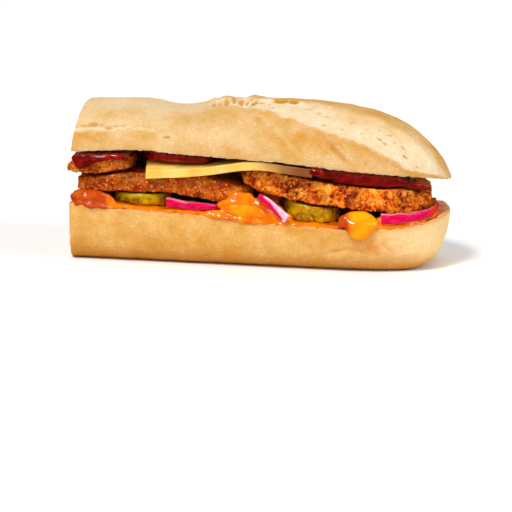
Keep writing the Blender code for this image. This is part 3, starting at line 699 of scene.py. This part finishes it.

# %% [markdown]
# ## Roast chicken
# The slices are spiced, moist meat. Their cut sides are crumbly, with clumps of fibre parted by
# clefts, pale and black specks of spice, and a thin wet shine. The clefts are darkened with
# painted shade, and the lines between fibres are darker too. The clumps come from a pattern of
# cells that sinks along its borders, over two sizes of soft noise. The second slice is smoother,
# and the sauce has coated its right end.

# %% Chicken material
def spiced_chicken():
    """Roast meat under paprika and oil: orange-brown, with painted shade in its clefts, and wet glints."""
    material, shader = new_material("roast_chicken", Subsurface_Weight=0.1, Subsurface_Scale=0.001,
                                    Coat_Weight=0.3, Coat_Roughness=0.12)
    shader.inputs["Subsurface Radius"].default_value = (1.0, 0.35, 0.12)
    shader.inputs["Specular IOR Level"].default_value = 0.1
    where = add(material, "ShaderNodeTexCoord").outputs["Object"]
    patches = add(material, "ShaderNodeTexNoise", {"Scale": per_mm(5), "Detail": 3.0},
                  {"Vector": where})
    ground = add(material, "ShaderNodeValToRGB",
                 {"stops": [(0.35, "741C00"), (0.5, "A43000"), (0.68, "D45A00")]},
                 {"Fac": patches.outputs[0]})
    clumps = add(material, "ShaderNodeTexNoise",
                 {"Scale": per_mm(2.6), "Detail": 4.0, "Roughness": 0.65}, {"Vector": where})
    clump_tone = add(material, "ShaderNodeValToRGB",
                     {"stops": [(0.37, "7A2000"), (0.45, "D45000"), (0.54, "F87E04"), (0.66, "FFB440")]},
                     {"Fac": clumps.outputs[0]})
    crumbly = add(material, "ShaderNodeAttribute", {"attribute_name": "crumbly"})
    meat = add(material, "ShaderNodeMix", {"data_type": "RGBA"},
               {0: crumbly.outputs["Fac"], 6: ground.outputs[0], 7: clump_tone.outputs[0]})
    # Painted shade: the clefts are mixed towards a deep brown.
    clefts = add(material, "ShaderNodeAttribute", {"attribute_name": "cleft"})
    deep = add(material, "ShaderNodeMix", {"data_type": "RGBA", 7: linear("501202")},
               {0: clefts.outputs["Fac"], 6: meat.outputs[2]})
    pepper = add(material, "ShaderNodeTexVoronoi", {"Scale": per_mm(2.6)}, {"Vector": where})
    speck = add(material, "ShaderNodeMapRange", {1: 0.1, 2: 0.2, 3: 0.8, 4: 0.0},
                {0: pepper.outputs["Distance"]})
    specked = add(material, "ShaderNodeMix", {"data_type": "RGBA", 7: linear("33120A")},
                  {0: speck.outputs[0], 6: deep.outputs[2]})
    spice = add(material, "ShaderNodeTexVoronoi", {"Scale": per_mm(3.1)}, {"Vector": where})
    grain = add(material, "ShaderNodeMapRange", {1: 0.1, 2: 0.22, 3: 0.6, 4: 0.0},
                {0: spice.outputs["Distance"]})
    spiced = add(material, "ShaderNodeMix", {"data_type": "RGBA", 7: linear("F4A65C")},
                 {0: grain.outputs[0], 6: specked.outputs[2]})
    coat = add(material, "ShaderNodeAttribute", {"attribute_name": "sauced"})
    sauced = add(material, "ShaderNodeMix", {"data_type": "RGBA", 7: linear("EE8A06")},
                 {0: coat.outputs["Fac"], 6: spiced.outputs[2]})
    material.node_tree.links.new(sauced.outputs[2], shader.inputs["Base Color"])
    wet = add(material, "ShaderNodeMapRange", {1: 0.3, 2: 0.7, 3: 0.28, 4: 0.6},
              {0: clumps.outputs[0]})
    material.node_tree.links.new(wet.outputs[0], shader.inputs["Roughness"])
    fibre = add(material, "ShaderNodeTexNoise", {"Scale": per_mm(1.0), "Detail": 4.0, "Roughness": 0.7},
                {"Vector": where})
    bump = add(material, "ShaderNodeBump", {"Strength": 1.0, "Distance": 0.6 * MM},
               {"Height": fibre.outputs[0]})
    material.node_tree.links.new(bump.outputs[0], shader.inputs["Normal"])
    return material


roast_chicken = spiced_chicken()
print("made", roast_chicken.name)

# %% [markdown]
# ## Cutting up the slices' skin
# Each slice is remeshed without rounding, which keeps its sides steep. Two patterns of bent cells
# give the clumps and the fibres in them. How far the clumps stand out is one number a slice.

# %% Chicken slices
CHICKEN_VOXEL = 0.42


def chicken_slice(number, crumble):
    """A slice whose clumps stand out as far as its crumble says."""
    mesh = refine(solid_copy(f"chicken_{number}"), levels=0, voxel=CHICKEN_VOXEL, smoothing=1)
    points, normals = read_points(mesh), read_normals(mesh)
    x, y, z = points.T
    seed = 30 + 5 * number
    bent = points + 1.1 * np.stack([bumps(points, 2, seed + k) for k in (6, 7, 8)], axis=1)
    _, border, share = cells(bent, 3.1, seed, stretch=(0.7, 1, 1.2))
    _, fibre_border, fibre_share = cells(bent, 1.6, seed + 9, stretch=(0.6, 1, 1.5))
    cleft = np.exp(-border / 0.45) * soft_step(share, -0.5, 0.3)
    fine = bumps(points, 1.1, seed + 1)
    patchy = soft_step(bumps(points, 7, seed + 4), -0.4, 0.1)
    rise = 0.35 * bumps(points, 6, seed + 2) + 0.35 * bumps(points, 2.4, seed + 3) - 0.15
    rise += crumble * patchy * (0.35 * fine - 0.9 * cleft + 0.35 * share + 0.3 * fibre_share)
    points += normals * rise[:, None]
    write_points(mesh, points)
    # Painted shade in the clefts, and darker lines between the fibres.
    dark = np.maximum(0.9 * cleft, 0.5 * np.exp(-fibre_border / 0.2))
    paint(mesh, "cleft", crumble * patchy * dark)
    paint(mesh, "crumbly", np.full(len(points), crumble ** 1.6))
    dipped = np.zeros(len(points))
    if number == 2:
        dipped = soft_step(x + 2.5 * bumps(points, 3, 3) - 0.4 * (z - 24), -14, -9) * soft_step(-y, 8, 22)
    paint(mesh, "sauced", 0.9 * dipped)
    return place(f"chicken_slice_{number}", mesh, "chicken", roast_chicken, [f"chicken_{number}"])


chicken_slice(1, crumble=0.8)
chicken_slice(2, crumble=0.55)
chicken_slice(3, crumble=1.0)

# %% [markdown]
# ## Cheese
# A slice of young cheese from a block: pale yellow, smooth and a little see-through, with sharp
# cut edges that its weight has bent down at the front. Light scatters inside it, which softens
# its shading. Ketchup has run onto its right end, which is also browned with a painted shadow.

# %% Cheese
def young_cheese():
    """Pale yellow cheese: light scatters inside, and fat gives it a low sheen."""
    material, shader = new_material("young_cheese", Roughness=0.38, Subsurface_Weight=0.25,
                                    Subsurface_Scale=0.002)
    shader.inputs["Subsurface Radius"].default_value = (1.0, 0.75, 0.25)
    where = add(material, "ShaderNodeTexCoord").outputs["Object"]
    clouds = add(material, "ShaderNodeTexNoise", {"Scale": per_mm(7), "Detail": 3.0},
                 {"Vector": where})
    tone = add(material, "ShaderNodeValToRGB", {"stops": [(0.35, "EDB848"), (0.6, "F8CE6A")]},
               {"Fac": clouds.outputs[0]})
    stained = add(material, "ShaderNodeAttribute", {"attribute_name": "stained"})
    # The brown is ketchup stain, and on the right end also a painted shadow.
    colour = add(material, "ShaderNodeMix", {"data_type": "RGBA", 7: linear("7E3A06")},
                 {0: stained.outputs["Fac"], 6: tone.outputs[0]})
    material.node_tree.links.new(colour.outputs[2], shader.inputs["Base Color"])
    grain = add(material, "ShaderNodeTexNoise", {"Scale": per_mm(1.5), "Detail": 3.0},
                {"Vector": where})
    bump = add(material, "ShaderNodeBump", {"Strength": 0.15, "Distance": 0.2 * MM},
               {"Height": grain.outputs[0]})
    material.node_tree.links.new(bump.outputs[0], shader.inputs["Normal"])
    return material


def cheese_slice():
    """The slice, gently wavy, with ketchup and a painted shadow browning its right end."""
    mesh = refine(solid_copy("cheese", crease_angle=40), levels=3)
    points, normals = read_points(mesh), read_normals(mesh)
    x, y, z = points.T
    points += normals * (0.12 * bumps(points, 5, 61) + 0.05 * bumps(points, 1.5, 62))[:, None]
    write_points(mesh, points)
    # Painted shadow and ketchup stain: the right end turns brown.
    right = soft_step(x + 2 * bumps(points, 4, 63), -6, 15)
    wet_top = soft_step(normals[:, 2], 0.5, 0.9) * soft_step(bumps(points, 5, 64), 0.0, 0.4) * 0.4
    paint(mesh, "stained", np.maximum(0.95 * right, wet_top))
    piece = place("cheese_slice", mesh, "cheese", young_cheese(), ["cheese"])
    piece.data.set_sharp_from_angle(angle=math.radians(45))
    return piece


cheese_slice()

# %% [markdown]
# ## Ketchup
# Three pools of dark red ketchup, squeezed between the chicken and the top. It is thick, wet and
# glossy, lets a little light in, and pulls into smooth swells, so the remeshed solids are smoothed
# and gently lumped, with no fine grain.

# %% Ketchup
def tomato_ketchup():
    """Cooked tomato, sugar and vinegar: deep red and very glossy."""
    material, shader = new_material("tomato_ketchup", Roughness=0.22, Subsurface_Weight=0.2,
                                    Subsurface_Scale=0.001, Coat_Weight=0.7, Coat_Roughness=0.03)
    shader.inputs["Subsurface Radius"].default_value = (1.0, 0.12, 0.06)
    shader.inputs["Specular IOR Level"].default_value = 0.1
    where = add(material, "ShaderNodeTexCoord").outputs["Object"]
    swirl = add(material, "ShaderNodeTexNoise", {"Scale": per_mm(4), "Detail": 3.0},
                {"Vector": where})
    tone = add(material, "ShaderNodeValToRGB", {"stops": [(0.35, "620603"), (0.65, "960F08")]},
               {"Fac": swirl.outputs[0]})
    material.node_tree.links.new(tone.outputs[0], shader.inputs["Base Color"])
    ripple = add(material, "ShaderNodeTexNoise", {"Scale": per_mm(2.4), "Detail": 2.0},
                 {"Vector": where})
    bump = add(material, "ShaderNodeBump", {"Strength": 1.0, "Distance": 0.9 * MM},
               {"Height": ripple.outputs[0]})
    material.node_tree.links.new(bump.outputs[0], shader.inputs["Normal"])
    return material


ketchup = tomato_ketchup()
# Where a pool reaches the front, beside its solid: middle and half sizes in mm
SQUEEZED_OUT = {3: [((25.4, -27.4, 35.6), (4.6, 2.0, 2.3)), ((23.0, -26.6, 35.8), (2.6, 2.0, 2.0)),
                    ((21.2, -30.4, 36.7), (3.4, 2.3, 1.9)), ((56.6, -22.0, 32.4), (4.6, 3.0, 1.4)),
                    ((60.6, -18.6, 31.2), (3.0, 4.0, 1.1))]}


def round_pool(bm, centre, half_sizes):
    """A flattened ball of sauce."""
    shape = Matrix.Translation(centre) @ Matrix.Diagonal((*half_sizes, 1.0))
    bmesh.ops.create_icosphere(bm, subdivisions=3, radius=1.0, matrix=shape)


for number in (1, 2, 3):
    squeezed = swollen(solid_copy(f"ketchup_{number}"), 0.25)
    for centre, half_sizes in SQUEEZED_OUT.get(number, []):
        round_pool(squeezed, Vector(centre), half_sizes)
    pool = refine(squeezed, levels=1, voxel=0.5, smoothing=4)
    places, facing = read_points(pool), read_normals(pool)
    lumps = 0.45 * bumps(places, 4.5, 70 + number) + 0.2 * bumps(places, 1.8, 75 + number)
    write_points(pool, places + facing * lumps[:, None])
    place(f"ketchup_pool_{number}", pool, "ketchup", ketchup, [f"ketchup_{number}"])

# %% [markdown]
# ## Orange sauce
# A creamy, glossy sauce covers the lower cut face and squeezes out between the fillings, over
# the rim and down the side. It is one liquid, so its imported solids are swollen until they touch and
# are remeshed together with small round pools, and smoothing then melts them into each other.

# %% Sauce material
def creamy_sauce():
    """Mayonnaise with pepper and mustard: opaque orange, red where it is thin, yellow where deep."""
    material, shader = new_material("orange_sauce", Roughness=0.3, Subsurface_Weight=0.15,
                                    Subsurface_Scale=0.0015, Coat_Weight=0.8, Coat_Roughness=0.03)
    shader.inputs["Subsurface Radius"].default_value = (1.0, 0.4, 0.08)
    shader.inputs["Specular IOR Level"].default_value = 0.12
    where = add(material, "ShaderNodeTexCoord").outputs["Object"]
    swirl = add(material, "ShaderNodeTexNoise", {"Scale": per_mm(5), "Detail": 3.0, "Distortion": 0.8},
                {"Vector": where})
    depth = add(material, "ShaderNodeAttribute", {"attribute_name": "deep"})
    swirled = add(material, "ShaderNodeMath", {"operation": "MULTIPLY_ADD", 1: 0.7, 2: -0.35},
                  {0: swirl.outputs[0]})
    level = add(material, "ShaderNodeMath", {"operation": "ADD"},
                {0: swirled.outputs[0], 1: depth.outputs["Fac"]})
    tone = add(material, "ShaderNodeValToRGB",
               {"stops": [(0.08, "BC4200"), (0.3, "E26800"), (0.55, "F08200"), (0.85, "FFA200")]},
               {"Fac": level.outputs[0]})
    material.node_tree.links.new(tone.outputs[0], shader.inputs["Base Color"])
    ripple = add(material, "ShaderNodeTexNoise", {"Scale": per_mm(1.6), "Detail": 3.0},
                 {"Vector": where})
    bump = add(material, "ShaderNodeBump", {"Strength": 0.25, "Distance": 0.2 * MM},
               {"Height": ripple.outputs[0]})
    material.node_tree.links.new(bump.outputs[0], shader.inputs["Normal"])
    return material


sauce_finish = creamy_sauce()
print("made", sauce_finish.name)

# %% [markdown]
# ## Joining the sauce
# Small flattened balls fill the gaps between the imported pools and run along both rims. They are
# remeshed with the pools into one skin. An attribute says how deep the sauce lies, and so how
# yellow it looks: the drop is deepest, and the smears at the cut end are thin and red.

# %% Sauce
SAUCE_NODES = [name for name in sorted(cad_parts) if name.startswith("sauce_")]
# Small pools that join the larger ones: middle and half sizes in mm
POOLS = [((1.5, -27.6, 22.6), (4.6, 2.6, 3.6)), ((5.8, -28.2, 20.8), (4.6, 3.2, 3.2)),
         ((10.6, -29.0, 19.4), (3.0, 2.6, 1.8)), ((-6.2, -28.9, 25.4), (4.4, 1.2, 2.6)),
         ((-9.8, -29.2, 22.8), (5.0, 1.6, 2.4)), ((-3.4, -28.2, 24.6), (2.8, 1.8, 3.4)),
         ((-14.6, -31.4, 19.9), (5.0, 1.5, 1.2)), ((-63.5, -30.0, 23.8), (4.6, 2.0, 1.6)),
         ((-57.4, -29.7, 22.4), (5.0, 2.0, 1.5)), ((-67.2, -27.6, 23.0), (2.4, 3.4, 1.9)),
         ((-60.6, -29.4, 24.8), (4.4, 1.4, 1.2)), ((-24.0, -25.6, 21.4), (9.0, 2.4, 1.9)),
         ((37.2, -30.2, 21.3), (5.4, 2.2, 1.5)), ((33.0, -31.8, 19.4), (2.8, 2.0, 2.7)),
         ((47.0, -27.6, 19.6), (3.6, 2.4, 1.6)), ((53.0, -23.8, 20.2), (6.0, 2.4, 1.3)),
         ((65.0, -8.0, 21.0), (2.6, 9.0, 1.5)), ((-16.0, 30.6, 20.6), (4.4, 2.0, 1.8)),
         ((-6.4, 31.2, 19.8), (4.6, 1.6, 1.7)), ((-13.4, 31.4, 23.2), (2.8, 1.8, 1.8)),
         ((-9.2, 32.0, 18.0), (1.8, 1.2, 2.4)), ((-2.0, 30.4, 21.0), (3.4, 2.0, 1.4))]


def rim_place(x, inward, up, side=-1):
    """A place beside the lower rim, in front (-1) or behind (1)."""
    return Vector((x, side * (float(half_width(x)) - inward), float(lower_rim(x)) + up))


def rim_smear(bm, start, end, inward, up, size, side=-1, spacing=1.2):
    """Uneven balls of sauce in a row along the rim."""
    count = int((end - start) / spacing)
    for i in range(count + 1):
        x = start + (end - start) * i / count
        swell = size * random.uniform(0.7, 1.25) * math.sin(math.pi * (0.12 + 0.76 * i / count))
        round_pool(bm, rim_place(x, inward + random.uniform(-0.3, 0.3), up), (1.3, swell, 0.75 * swell))


def orange_sauce():
    """All the orange sauce as one skin."""
    bm = bmesh.new()
    for node in SAUCE_NODES:
        part = swollen(solid_copy(node), 0.32)
        mesh = bpy.data.meshes.new("part")
        part.to_mesh(mesh)
        part.free()
        bm.from_mesh(mesh)
        bpy.data.meshes.remove(mesh)
    for side in (-1, 1):
        rim_smear(bm, -19, 6, 0.5, -0.2, 1.4, side)
        rim_smear(bm, 6, 31, 0.8, -0.2, 0.8, side)
        rim_smear(bm, 43, 62, 0.7, -0.2, 0.9, side)
        rim_smear(bm, -68, -51, 0.5, -0.2, 1.5, side)
        rim_smear(bm, -52, -20, 0.8, -0.2, 0.7, side)
    for centre, half_sizes in POOLS:
        round_pool(bm, Vector(centre), half_sizes)
    mesh = refine(bm, levels=0, voxel=0.5, smoothing=5)
    points, normals = read_points(mesh), read_normals(mesh)
    x, y, z = points.T
    lumpy = 1 - soft_step(x, -60, -50)
    rise = 0.4 * bumps(points, 5, 81) + (0.15 + 0.6 * lumpy) * bumps(points, 2.0, 82)
    points += normals * rise[:, None]
    write_points(mesh, points)
    low = 1 - soft_step(z - lower_rim(x), 0.6, 2.4)
    patch = bumps(points, 4, 83)
    drop = np.exp(-((x - 39.0) / 6) ** 4) * soft_step(-y, 25, 30)
    left = 1 - soft_step(x + 3 * patch, -60, -46)
    drop_side = np.exp(-((x - 32.4) / 2.4) ** 2) * soft_step(-y, 25, 30)
    paint(mesh, "deep", 0.5 - 0.12 * low + 0.35 * drop - 0.55 * drop_side - 0.44 * left + 0.25 * patch)
    return place("orange_sauce", mesh, "orange_sauce", sauce_finish, SAUCE_NODES)


orange_sauce()

# %% [markdown]
# ## Pickled cucumber
# Thick chips of pickled cucumber lie on the sauce. Their flesh is wet, olive and amber, clearer
# towards the light, with a darker skin round the edge. The knife left the sides a little crinkled.

# %% Pickle
def pickled_cucumber():
    """Flesh soaked in brine: see-through, amber to olive, wet, with a darker skin."""
    material, shader = new_material("pickled_cucumber", Roughness=0.2, Subsurface_Weight=0.35,
                                    Subsurface_Scale=0.002, Coat_Weight=0.5, Coat_Roughness=0.05)
    shader.inputs["Subsurface Radius"].default_value = (1.0, 0.8, 0.1)
    shader.inputs["Specular IOR Level"].default_value = 0.2
    where = add(material, "ShaderNodeTexCoord").outputs["Object"]
    clouds = add(material, "ShaderNodeTexNoise",
                 {"Scale": per_mm(3), "Detail": 4.0, "Distortion": 0.7}, {"Vector": where})
    flesh = add(material, "ShaderNodeValToRGB",
                {"stops": [(0.34, "785600"), (0.47, "B47C00"), (0.6, "D49900"), (0.72, "E8B810")]},
                {"Fac": clouds.outputs[0]})
    rind = add(material, "ShaderNodeAttribute", {"attribute_name": "rind"})
    edged = add(material, "ShaderNodeMix", {"data_type": "RGBA", 7: linear("B4A404")},
                {0: rind.outputs["Fac"], 6: flesh.outputs[0]})
    cracks = add(material, "ShaderNodeAttribute", {"attribute_name": "crack"})
    colour = add(material, "ShaderNodeMix", {"data_type": "RGBA", 7: linear("5E4400")},
                 {0: cracks.outputs["Fac"], 6: edged.outputs[2]})
    material.node_tree.links.new(colour.outputs[2], shader.inputs["Base Color"])
    folds = add(material, "ShaderNodeTexNoise",
                {"Scale": per_mm(1.6), "Detail": 3.0, "Distortion": 1.0}, {"Vector": where})
    bump = add(material, "ShaderNodeBump", {"Strength": 0.5, "Distance": 0.5 * MM},
               {"Height": folds.outputs[0]})
    material.node_tree.links.new(bump.outputs[0], shader.inputs["Normal"])
    return material


pickle_flesh = pickled_cucumber()


def pickle_chip(number, crinkle):
    """A chip whose side is as crinkled and cracked as its crinkle says."""
    mesh = refine(solid_copy(f"pickle_{number}", crease_angle=40), levels=1, voxel=0.4, smoothing=1)
    points, normals = read_points(mesh), read_normals(mesh)
    bent = points + np.stack([bumps(points, 2, 125 + k) for k in (0, 1, 2)], axis=1)
    _, border, share = cells(bent, 3.4, 90 + number, stretch=(0.8, 1, 1.8))
    rise = 0.25 * bumps(points, 5, 95 + number)
    split = np.exp(-border / 0.3)
    rise += crinkle * (0.25 * bumps(points, 1.9, 100 + number) + 0.15 * share - 0.3 * split)
    points += normals * rise[:, None]
    write_points(mesh, points)
    top = points[:, 2].max()
    upper = soft_step(points[:, 2], top - 1.9, top - 0.9)
    clouds = soft_step(bumps(points, 3, 105 + number), -0.1, 0.4)
    paint(mesh, "rind", 0.85 * upper + 0.3 * clouds * crinkle)
    torn_here = soft_step(bumps(points, 4, 120 + number), -0.15, 0.25) * soft_step(crinkle, 0.4, 0.9)
    paint(mesh, "crack", 0.8 * torn_here * split * (1 - upper))
    return place(f"pickle_chip_{number}", mesh, "pickle", pickle_flesh, [f"pickle_{number}"])


for number, crinkle in ((1, 0.35), (2, 1.0), (3, 0.6), (4, 0.8)):
    pickle_chip(number, crinkle)

# %% [markdown]
# ## Red onion
# Strips of red onion, dyed magenta by the brine, show between the chips. A strip is skin on its
# outer side and pale, streaky flesh inside. Its streaks run along the ring, so each point gets its
# place along, across and up the strip, and the material stretches its noise in those directions.

# %% Onion
# Each ring's middle and radius, and the places that the hanging strip runs through
ONION_RINGS = {1: ((-24.0, -14.6), 16.0), 3: ((45.0, -9.0), 21.0), 4: ((8.0, 10.0), 18.0),
               5: ((-52.0, 8.0), 17.0)}
ONION_TAIL = [(0.6, -30.9, 26.7), (4.2, -31.5, 24.9), (8.0, -32.9, 22.0), (11.4, -34.4, 19.4)]


def red_onion():
    """Pickled red onion: translucent, magenta skin over pale pink flesh, wet."""
    material, shader = new_material("red_onion", Roughness=0.2, Subsurface_Weight=0.3,
                                    Subsurface_Scale=0.0012, Coat_Weight=0.4, Coat_Roughness=0.06)
    shader.inputs["Subsurface Radius"].default_value = (1.0, 0.3, 0.5)
    shader.inputs["Specular IOR Level"].default_value = 0.25
    strip = add(material, "ShaderNodeAttribute", {"attribute_name": "strip"})
    stretch = add(material, "ShaderNodeMapping", {"Scale": (0.22, 1.6, 1.6)},
                  {"Vector": strip.outputs["Vector"]})
    streaks = add(material, "ShaderNodeTexNoise", {"Scale": 1.4, "Detail": 4.0, "Roughness": 0.6},
                  {"Vector": stretch.outputs[0]})
    skin_tone = add(material, "ShaderNodeValToRGB",
                    {"stops": [(0.34, "B0003A"), (0.52, "DE004C"), (0.7, "F42A74")]},
                    {"Fac": streaks.outputs[0]})
    flesh_tone = add(material, "ShaderNodeValToRGB", {"stops": [(0.35, "F08CB4"), (0.65, "FBE3EA")]},
                     {"Fac": streaks.outputs[0]})
    skin = add(material, "ShaderNodeAttribute", {"attribute_name": "skin"})
    colour = add(material, "ShaderNodeMix", {"data_type": "RGBA"},
                 {0: skin.outputs["Fac"], 6: flesh_tone.outputs[0], 7: skin_tone.outputs[0]})
    sauced = add(material, "ShaderNodeAttribute", {"attribute_name": "sauced"})
    tinted = add(material, "ShaderNodeMix", {"data_type": "RGBA", 7: linear("DE3A0E")},
                 {0: sauced.outputs["Fac"], 6: colour.outputs[2]})
    material.node_tree.links.new(tinted.outputs[2], shader.inputs["Base Color"])
    bump = add(material, "ShaderNodeBump", {"Strength": 0.4, "Distance": 0.2 * MM},
               {"Height": streaks.outputs[0]})
    material.node_tree.links.new(bump.outputs[0], shader.inputs["Normal"])
    return material


onion_skin = red_onion()


def onion_strip(number):
    """A strip with magenta skin on its outer side and pale flesh inside."""
    mesh = refine(solid_copy(f"onion_{number}", crease_angle=80), levels=3)
    points, normals = read_points(mesh), read_normals(mesh)
    x, y, z = points.T
    if number in ONION_RINGS:
        (centre_x, centre_y), radius = ONION_RINGS[number]
        along = np.arctan2(y - centre_y, x - centre_x) * radius
        across = np.hypot(x - centre_x, y - centre_y) - radius
        up = z - lower_rim(x) - 2.4
        top = np.percentile(up, 99)
        skin = soft_step(across, -0.2, 0.5) * (1 - 0.25 * soft_step(up, top - 0.8, top - 0.3))
    else:
        nodes = np.array(ONION_TAIL)
        across, along = x - np.interp(z, nodes[::-1, 2], nodes[::-1, 0]), -z
        up = -y
        skin = soft_step(z - 2.2 * across, 20.5, 23.5)
    wave = 0.2 * bumps(np.stack([along, along * 0, along * 0], axis=1), 5, 110 + number)
    points += normals * (0.1 * bumps(points, 2, 115 + number))[:, None]
    points[:, 2] += wave
    write_points(mesh, points)
    layer = mesh.attributes.new("strip", "FLOAT_VECTOR", "POINT")
    layer.data.foreach_set("vector", np.stack([along, across, up], axis=1).astype(np.float32).ravel())
    paint(mesh, "skin", skin)
    paint(mesh, "sauced", 0.75 * soft_step(x, 61.5, 65.5) * (number == 3))
    return place(f"onion_strip_{number}", mesh, "onion", onion_skin, [f"onion_{number}"])


for number in (1, 2, 3, 4, 5):
    onion_strip(number)

# %% [markdown]
# ## Crumbs and pepper
# Roasting leaves crisp golden crumbs on the meat's cut sides and scatters cracked pepper over them.
# They are tiny balls, pushed out of round, set half into the skin at random places of the front
# and back of the slices. Each kind is one mesh, so the piece stays light.

# %% Crumbs and pepper
def small_bits(name, slices, count, radii, material):
    """Uneven grains on the upright sides of the slices, as one piece."""
    bm = bmesh.new()
    for slice_name in slices:
        mesh = bpy.data.objects[slice_name].data
        upright = [v for v in mesh.vertices if abs(v.normal.z) < 0.6 and abs(v.normal.y) > 0.3]
        for vertex in random.sample(upright, count):
            radius = random.uniform(*radii) * MM
            shape = Matrix.Diagonal((random.uniform(0.7, 1.5), 0.8, random.uniform(0.6, 1.1), 1.0))
            turn = Matrix.Rotation(random.uniform(0, math.pi), 4, vertex.normal)
            spot = Matrix.Translation(vertex.co - vertex.normal * radius * 0.2)
            bmesh.ops.create_icosphere(bm, subdivisions=1, radius=radius, matrix=spot @ turn @ shape)
    bits = bpy.data.meshes.new(name)
    bm.to_mesh(bits)
    bm.free()
    write_points(bits, read_points(bits) / MM - SHIFT)
    return place(name, bits, "chicken", material)


golden_crumb, crumb_shader = new_material("golden_crumb", Roughness=0.35, Coat_Weight=0.4)
crumb_shader.inputs["Base Color"].default_value = linear("F09A28")
cracked_pepper, pepper_shader = new_material("cracked_pepper", Roughness=0.5)
pepper_shader.inputs["Base Color"].default_value = linear("3A160A")
SLICES = ["chicken_slice_1", "chicken_slice_2", "chicken_slice_3"]
small_bits("chicken_crumbs", SLICES, 260, (0.18, 0.42), golden_crumb)
small_bits("pepper_bits", SLICES, 45, (0.15, 0.32), cracked_pepper)

# %% [markdown]
# ## Floor
# The photograph was taken in a bright white studio. The floor is one large sheet of matt white
# paper, hidden from reflections, because it would put a pale haze on every wet surface.

# %% Floor
FLOOR_SIDE = 24


def studio_floor():
    """A square of white paper under the sandwich, which isn't part of it."""
    bm = bmesh.new()
    bmesh.ops.create_grid(bm, x_segments=1, y_segments=1, size=FLOOR_SIDE / 2)
    mesh = bpy.data.meshes.new("floor")
    bm.to_mesh(mesh)
    bm.free()
    floor = bpy.data.objects.new("floor", mesh)
    material, shader = new_material("white_paper", Roughness=0.9)
    shader.inputs["Base Color"].default_value = linear("FAFAFA")
    mesh.materials.append(material)
    floor.visible_glossy = False
    bpy.context.scene.collection.objects.link(floor)


studio_floor()
print("floor of", FLOOR_SIDE, "m")

# %% [markdown]
# ## Lights
# The key lamp stands above the front, to the left, and is soft. A weak, small lamp near the front
# lights the fillings under the bread and draws the sharp glints on wet sauce. A wide lamp from the
# right and an even white surround fill the shadows.

# %% Lights
def far_lamp(name, direction, strength, spread_degrees):
    """A lamp so far away that it lights the whole floor alike; a wide spread softens it."""
    lamp = bpy.data.lights.new(name, "SUN")
    lamp.energy = strength
    lamp.angle = math.radians(spread_degrees)
    holder = bpy.data.objects.new(name, lamp)
    holder.rotation_euler = Vector(direction).to_track_quat("-Z", "Y").to_euler()
    bpy.context.scene.collection.objects.link(holder)


far_lamp("key", direction=(0.36, 0.7, -0.97), strength=1.75, spread_degrees=12)
far_lamp("glint", direction=(0.32, 0.9, -0.38), strength=0.4, spread_degrees=1.5)
far_lamp("fill", direction=(-0.9, 0.35, -0.6), strength=0.9, spread_degrees=30)

world = bpy.data.worlds.new("studio")
world.use_nodes = True
world.node_tree.nodes["Background"].inputs["Color"].default_value = (1, 1, 1, 1)
world.node_tree.nodes["Background"].inputs["Strength"].default_value = 0.58
world.cycles_visibility.glossy = False
bpy.context.scene.world = world
bpy.context.scene.view_settings.view_transform = "Standard"
print("lamps:", ", ".join(sorted(lamp.name for lamp in bpy.data.lights)))

# %% [markdown]
# ## Camera
# A long lens looks from a little above and a little to the right, rolled slightly, so that the
# sandwich leans as in the photograph. It is aimed by turning, so that the loaf's middle falls on
# the pixel where the photograph shows it.

# %% Camera
AZIMUTH, ELEVATION, ROLL = math.radians(4), math.radians(8), math.radians(2)
DISTANCE = 0.85
PHOTO_SIDE = 512
FOCAL_PIXELS = 2237
SENSOR_MM = 36
MIDDLE = Vector(((SHIFT[0] - 1.5) * MM, SHIFT[1] * MM, 0.0271))
MIDDLE_PIXEL = (259, 184)


def photo_camera():
    """A long lens that shows the middle of the sandwich where the photograph has it."""
    back = Vector((math.sin(AZIMUTH) * math.cos(ELEVATION), -math.cos(AZIMUTH) * math.cos(ELEVATION),
                   math.sin(ELEVATION)))
    right = Vector((0, 0, 1)).cross(back).normalized()
    up = back.cross(right)
    turn = Matrix.Rotation(ROLL, 3, "Z")
    axes = Matrix((right, up, back)).transposed() @ turn
    aim_x = (PHOTO_SIDE / 2 - MIDDLE_PIXEL[0]) / FOCAL_PIXELS
    aim_y = (PHOTO_SIDE / 2 - MIDDLE_PIXEL[1]) / FOCAL_PIXELS
    pitch = Matrix.Rotation(-math.atan(aim_y), 3, "X")
    yaw = Matrix.Rotation(-math.atan(aim_x), 3, "Y")
    pose = (axes @ pitch @ yaw).to_4x4()
    pose.translation = MIDDLE + back * DISTANCE
    camera = bpy.data.cameras.new("camera")
    camera.sensor_width = SENSOR_MM
    camera.lens = FOCAL_PIXELS / PHOTO_SIDE * SENSOR_MM
    camera.clip_start = 0.05
    holder = bpy.data.objects.new("camera", camera)
    holder.matrix_world = pose
    bpy.context.scene.collection.objects.link(holder)
    bpy.context.scene.camera = holder


photo_camera()
print("camera at", DISTANCE, "m with a lens of", round(bpy.context.scene.camera.data.lens), "mm")
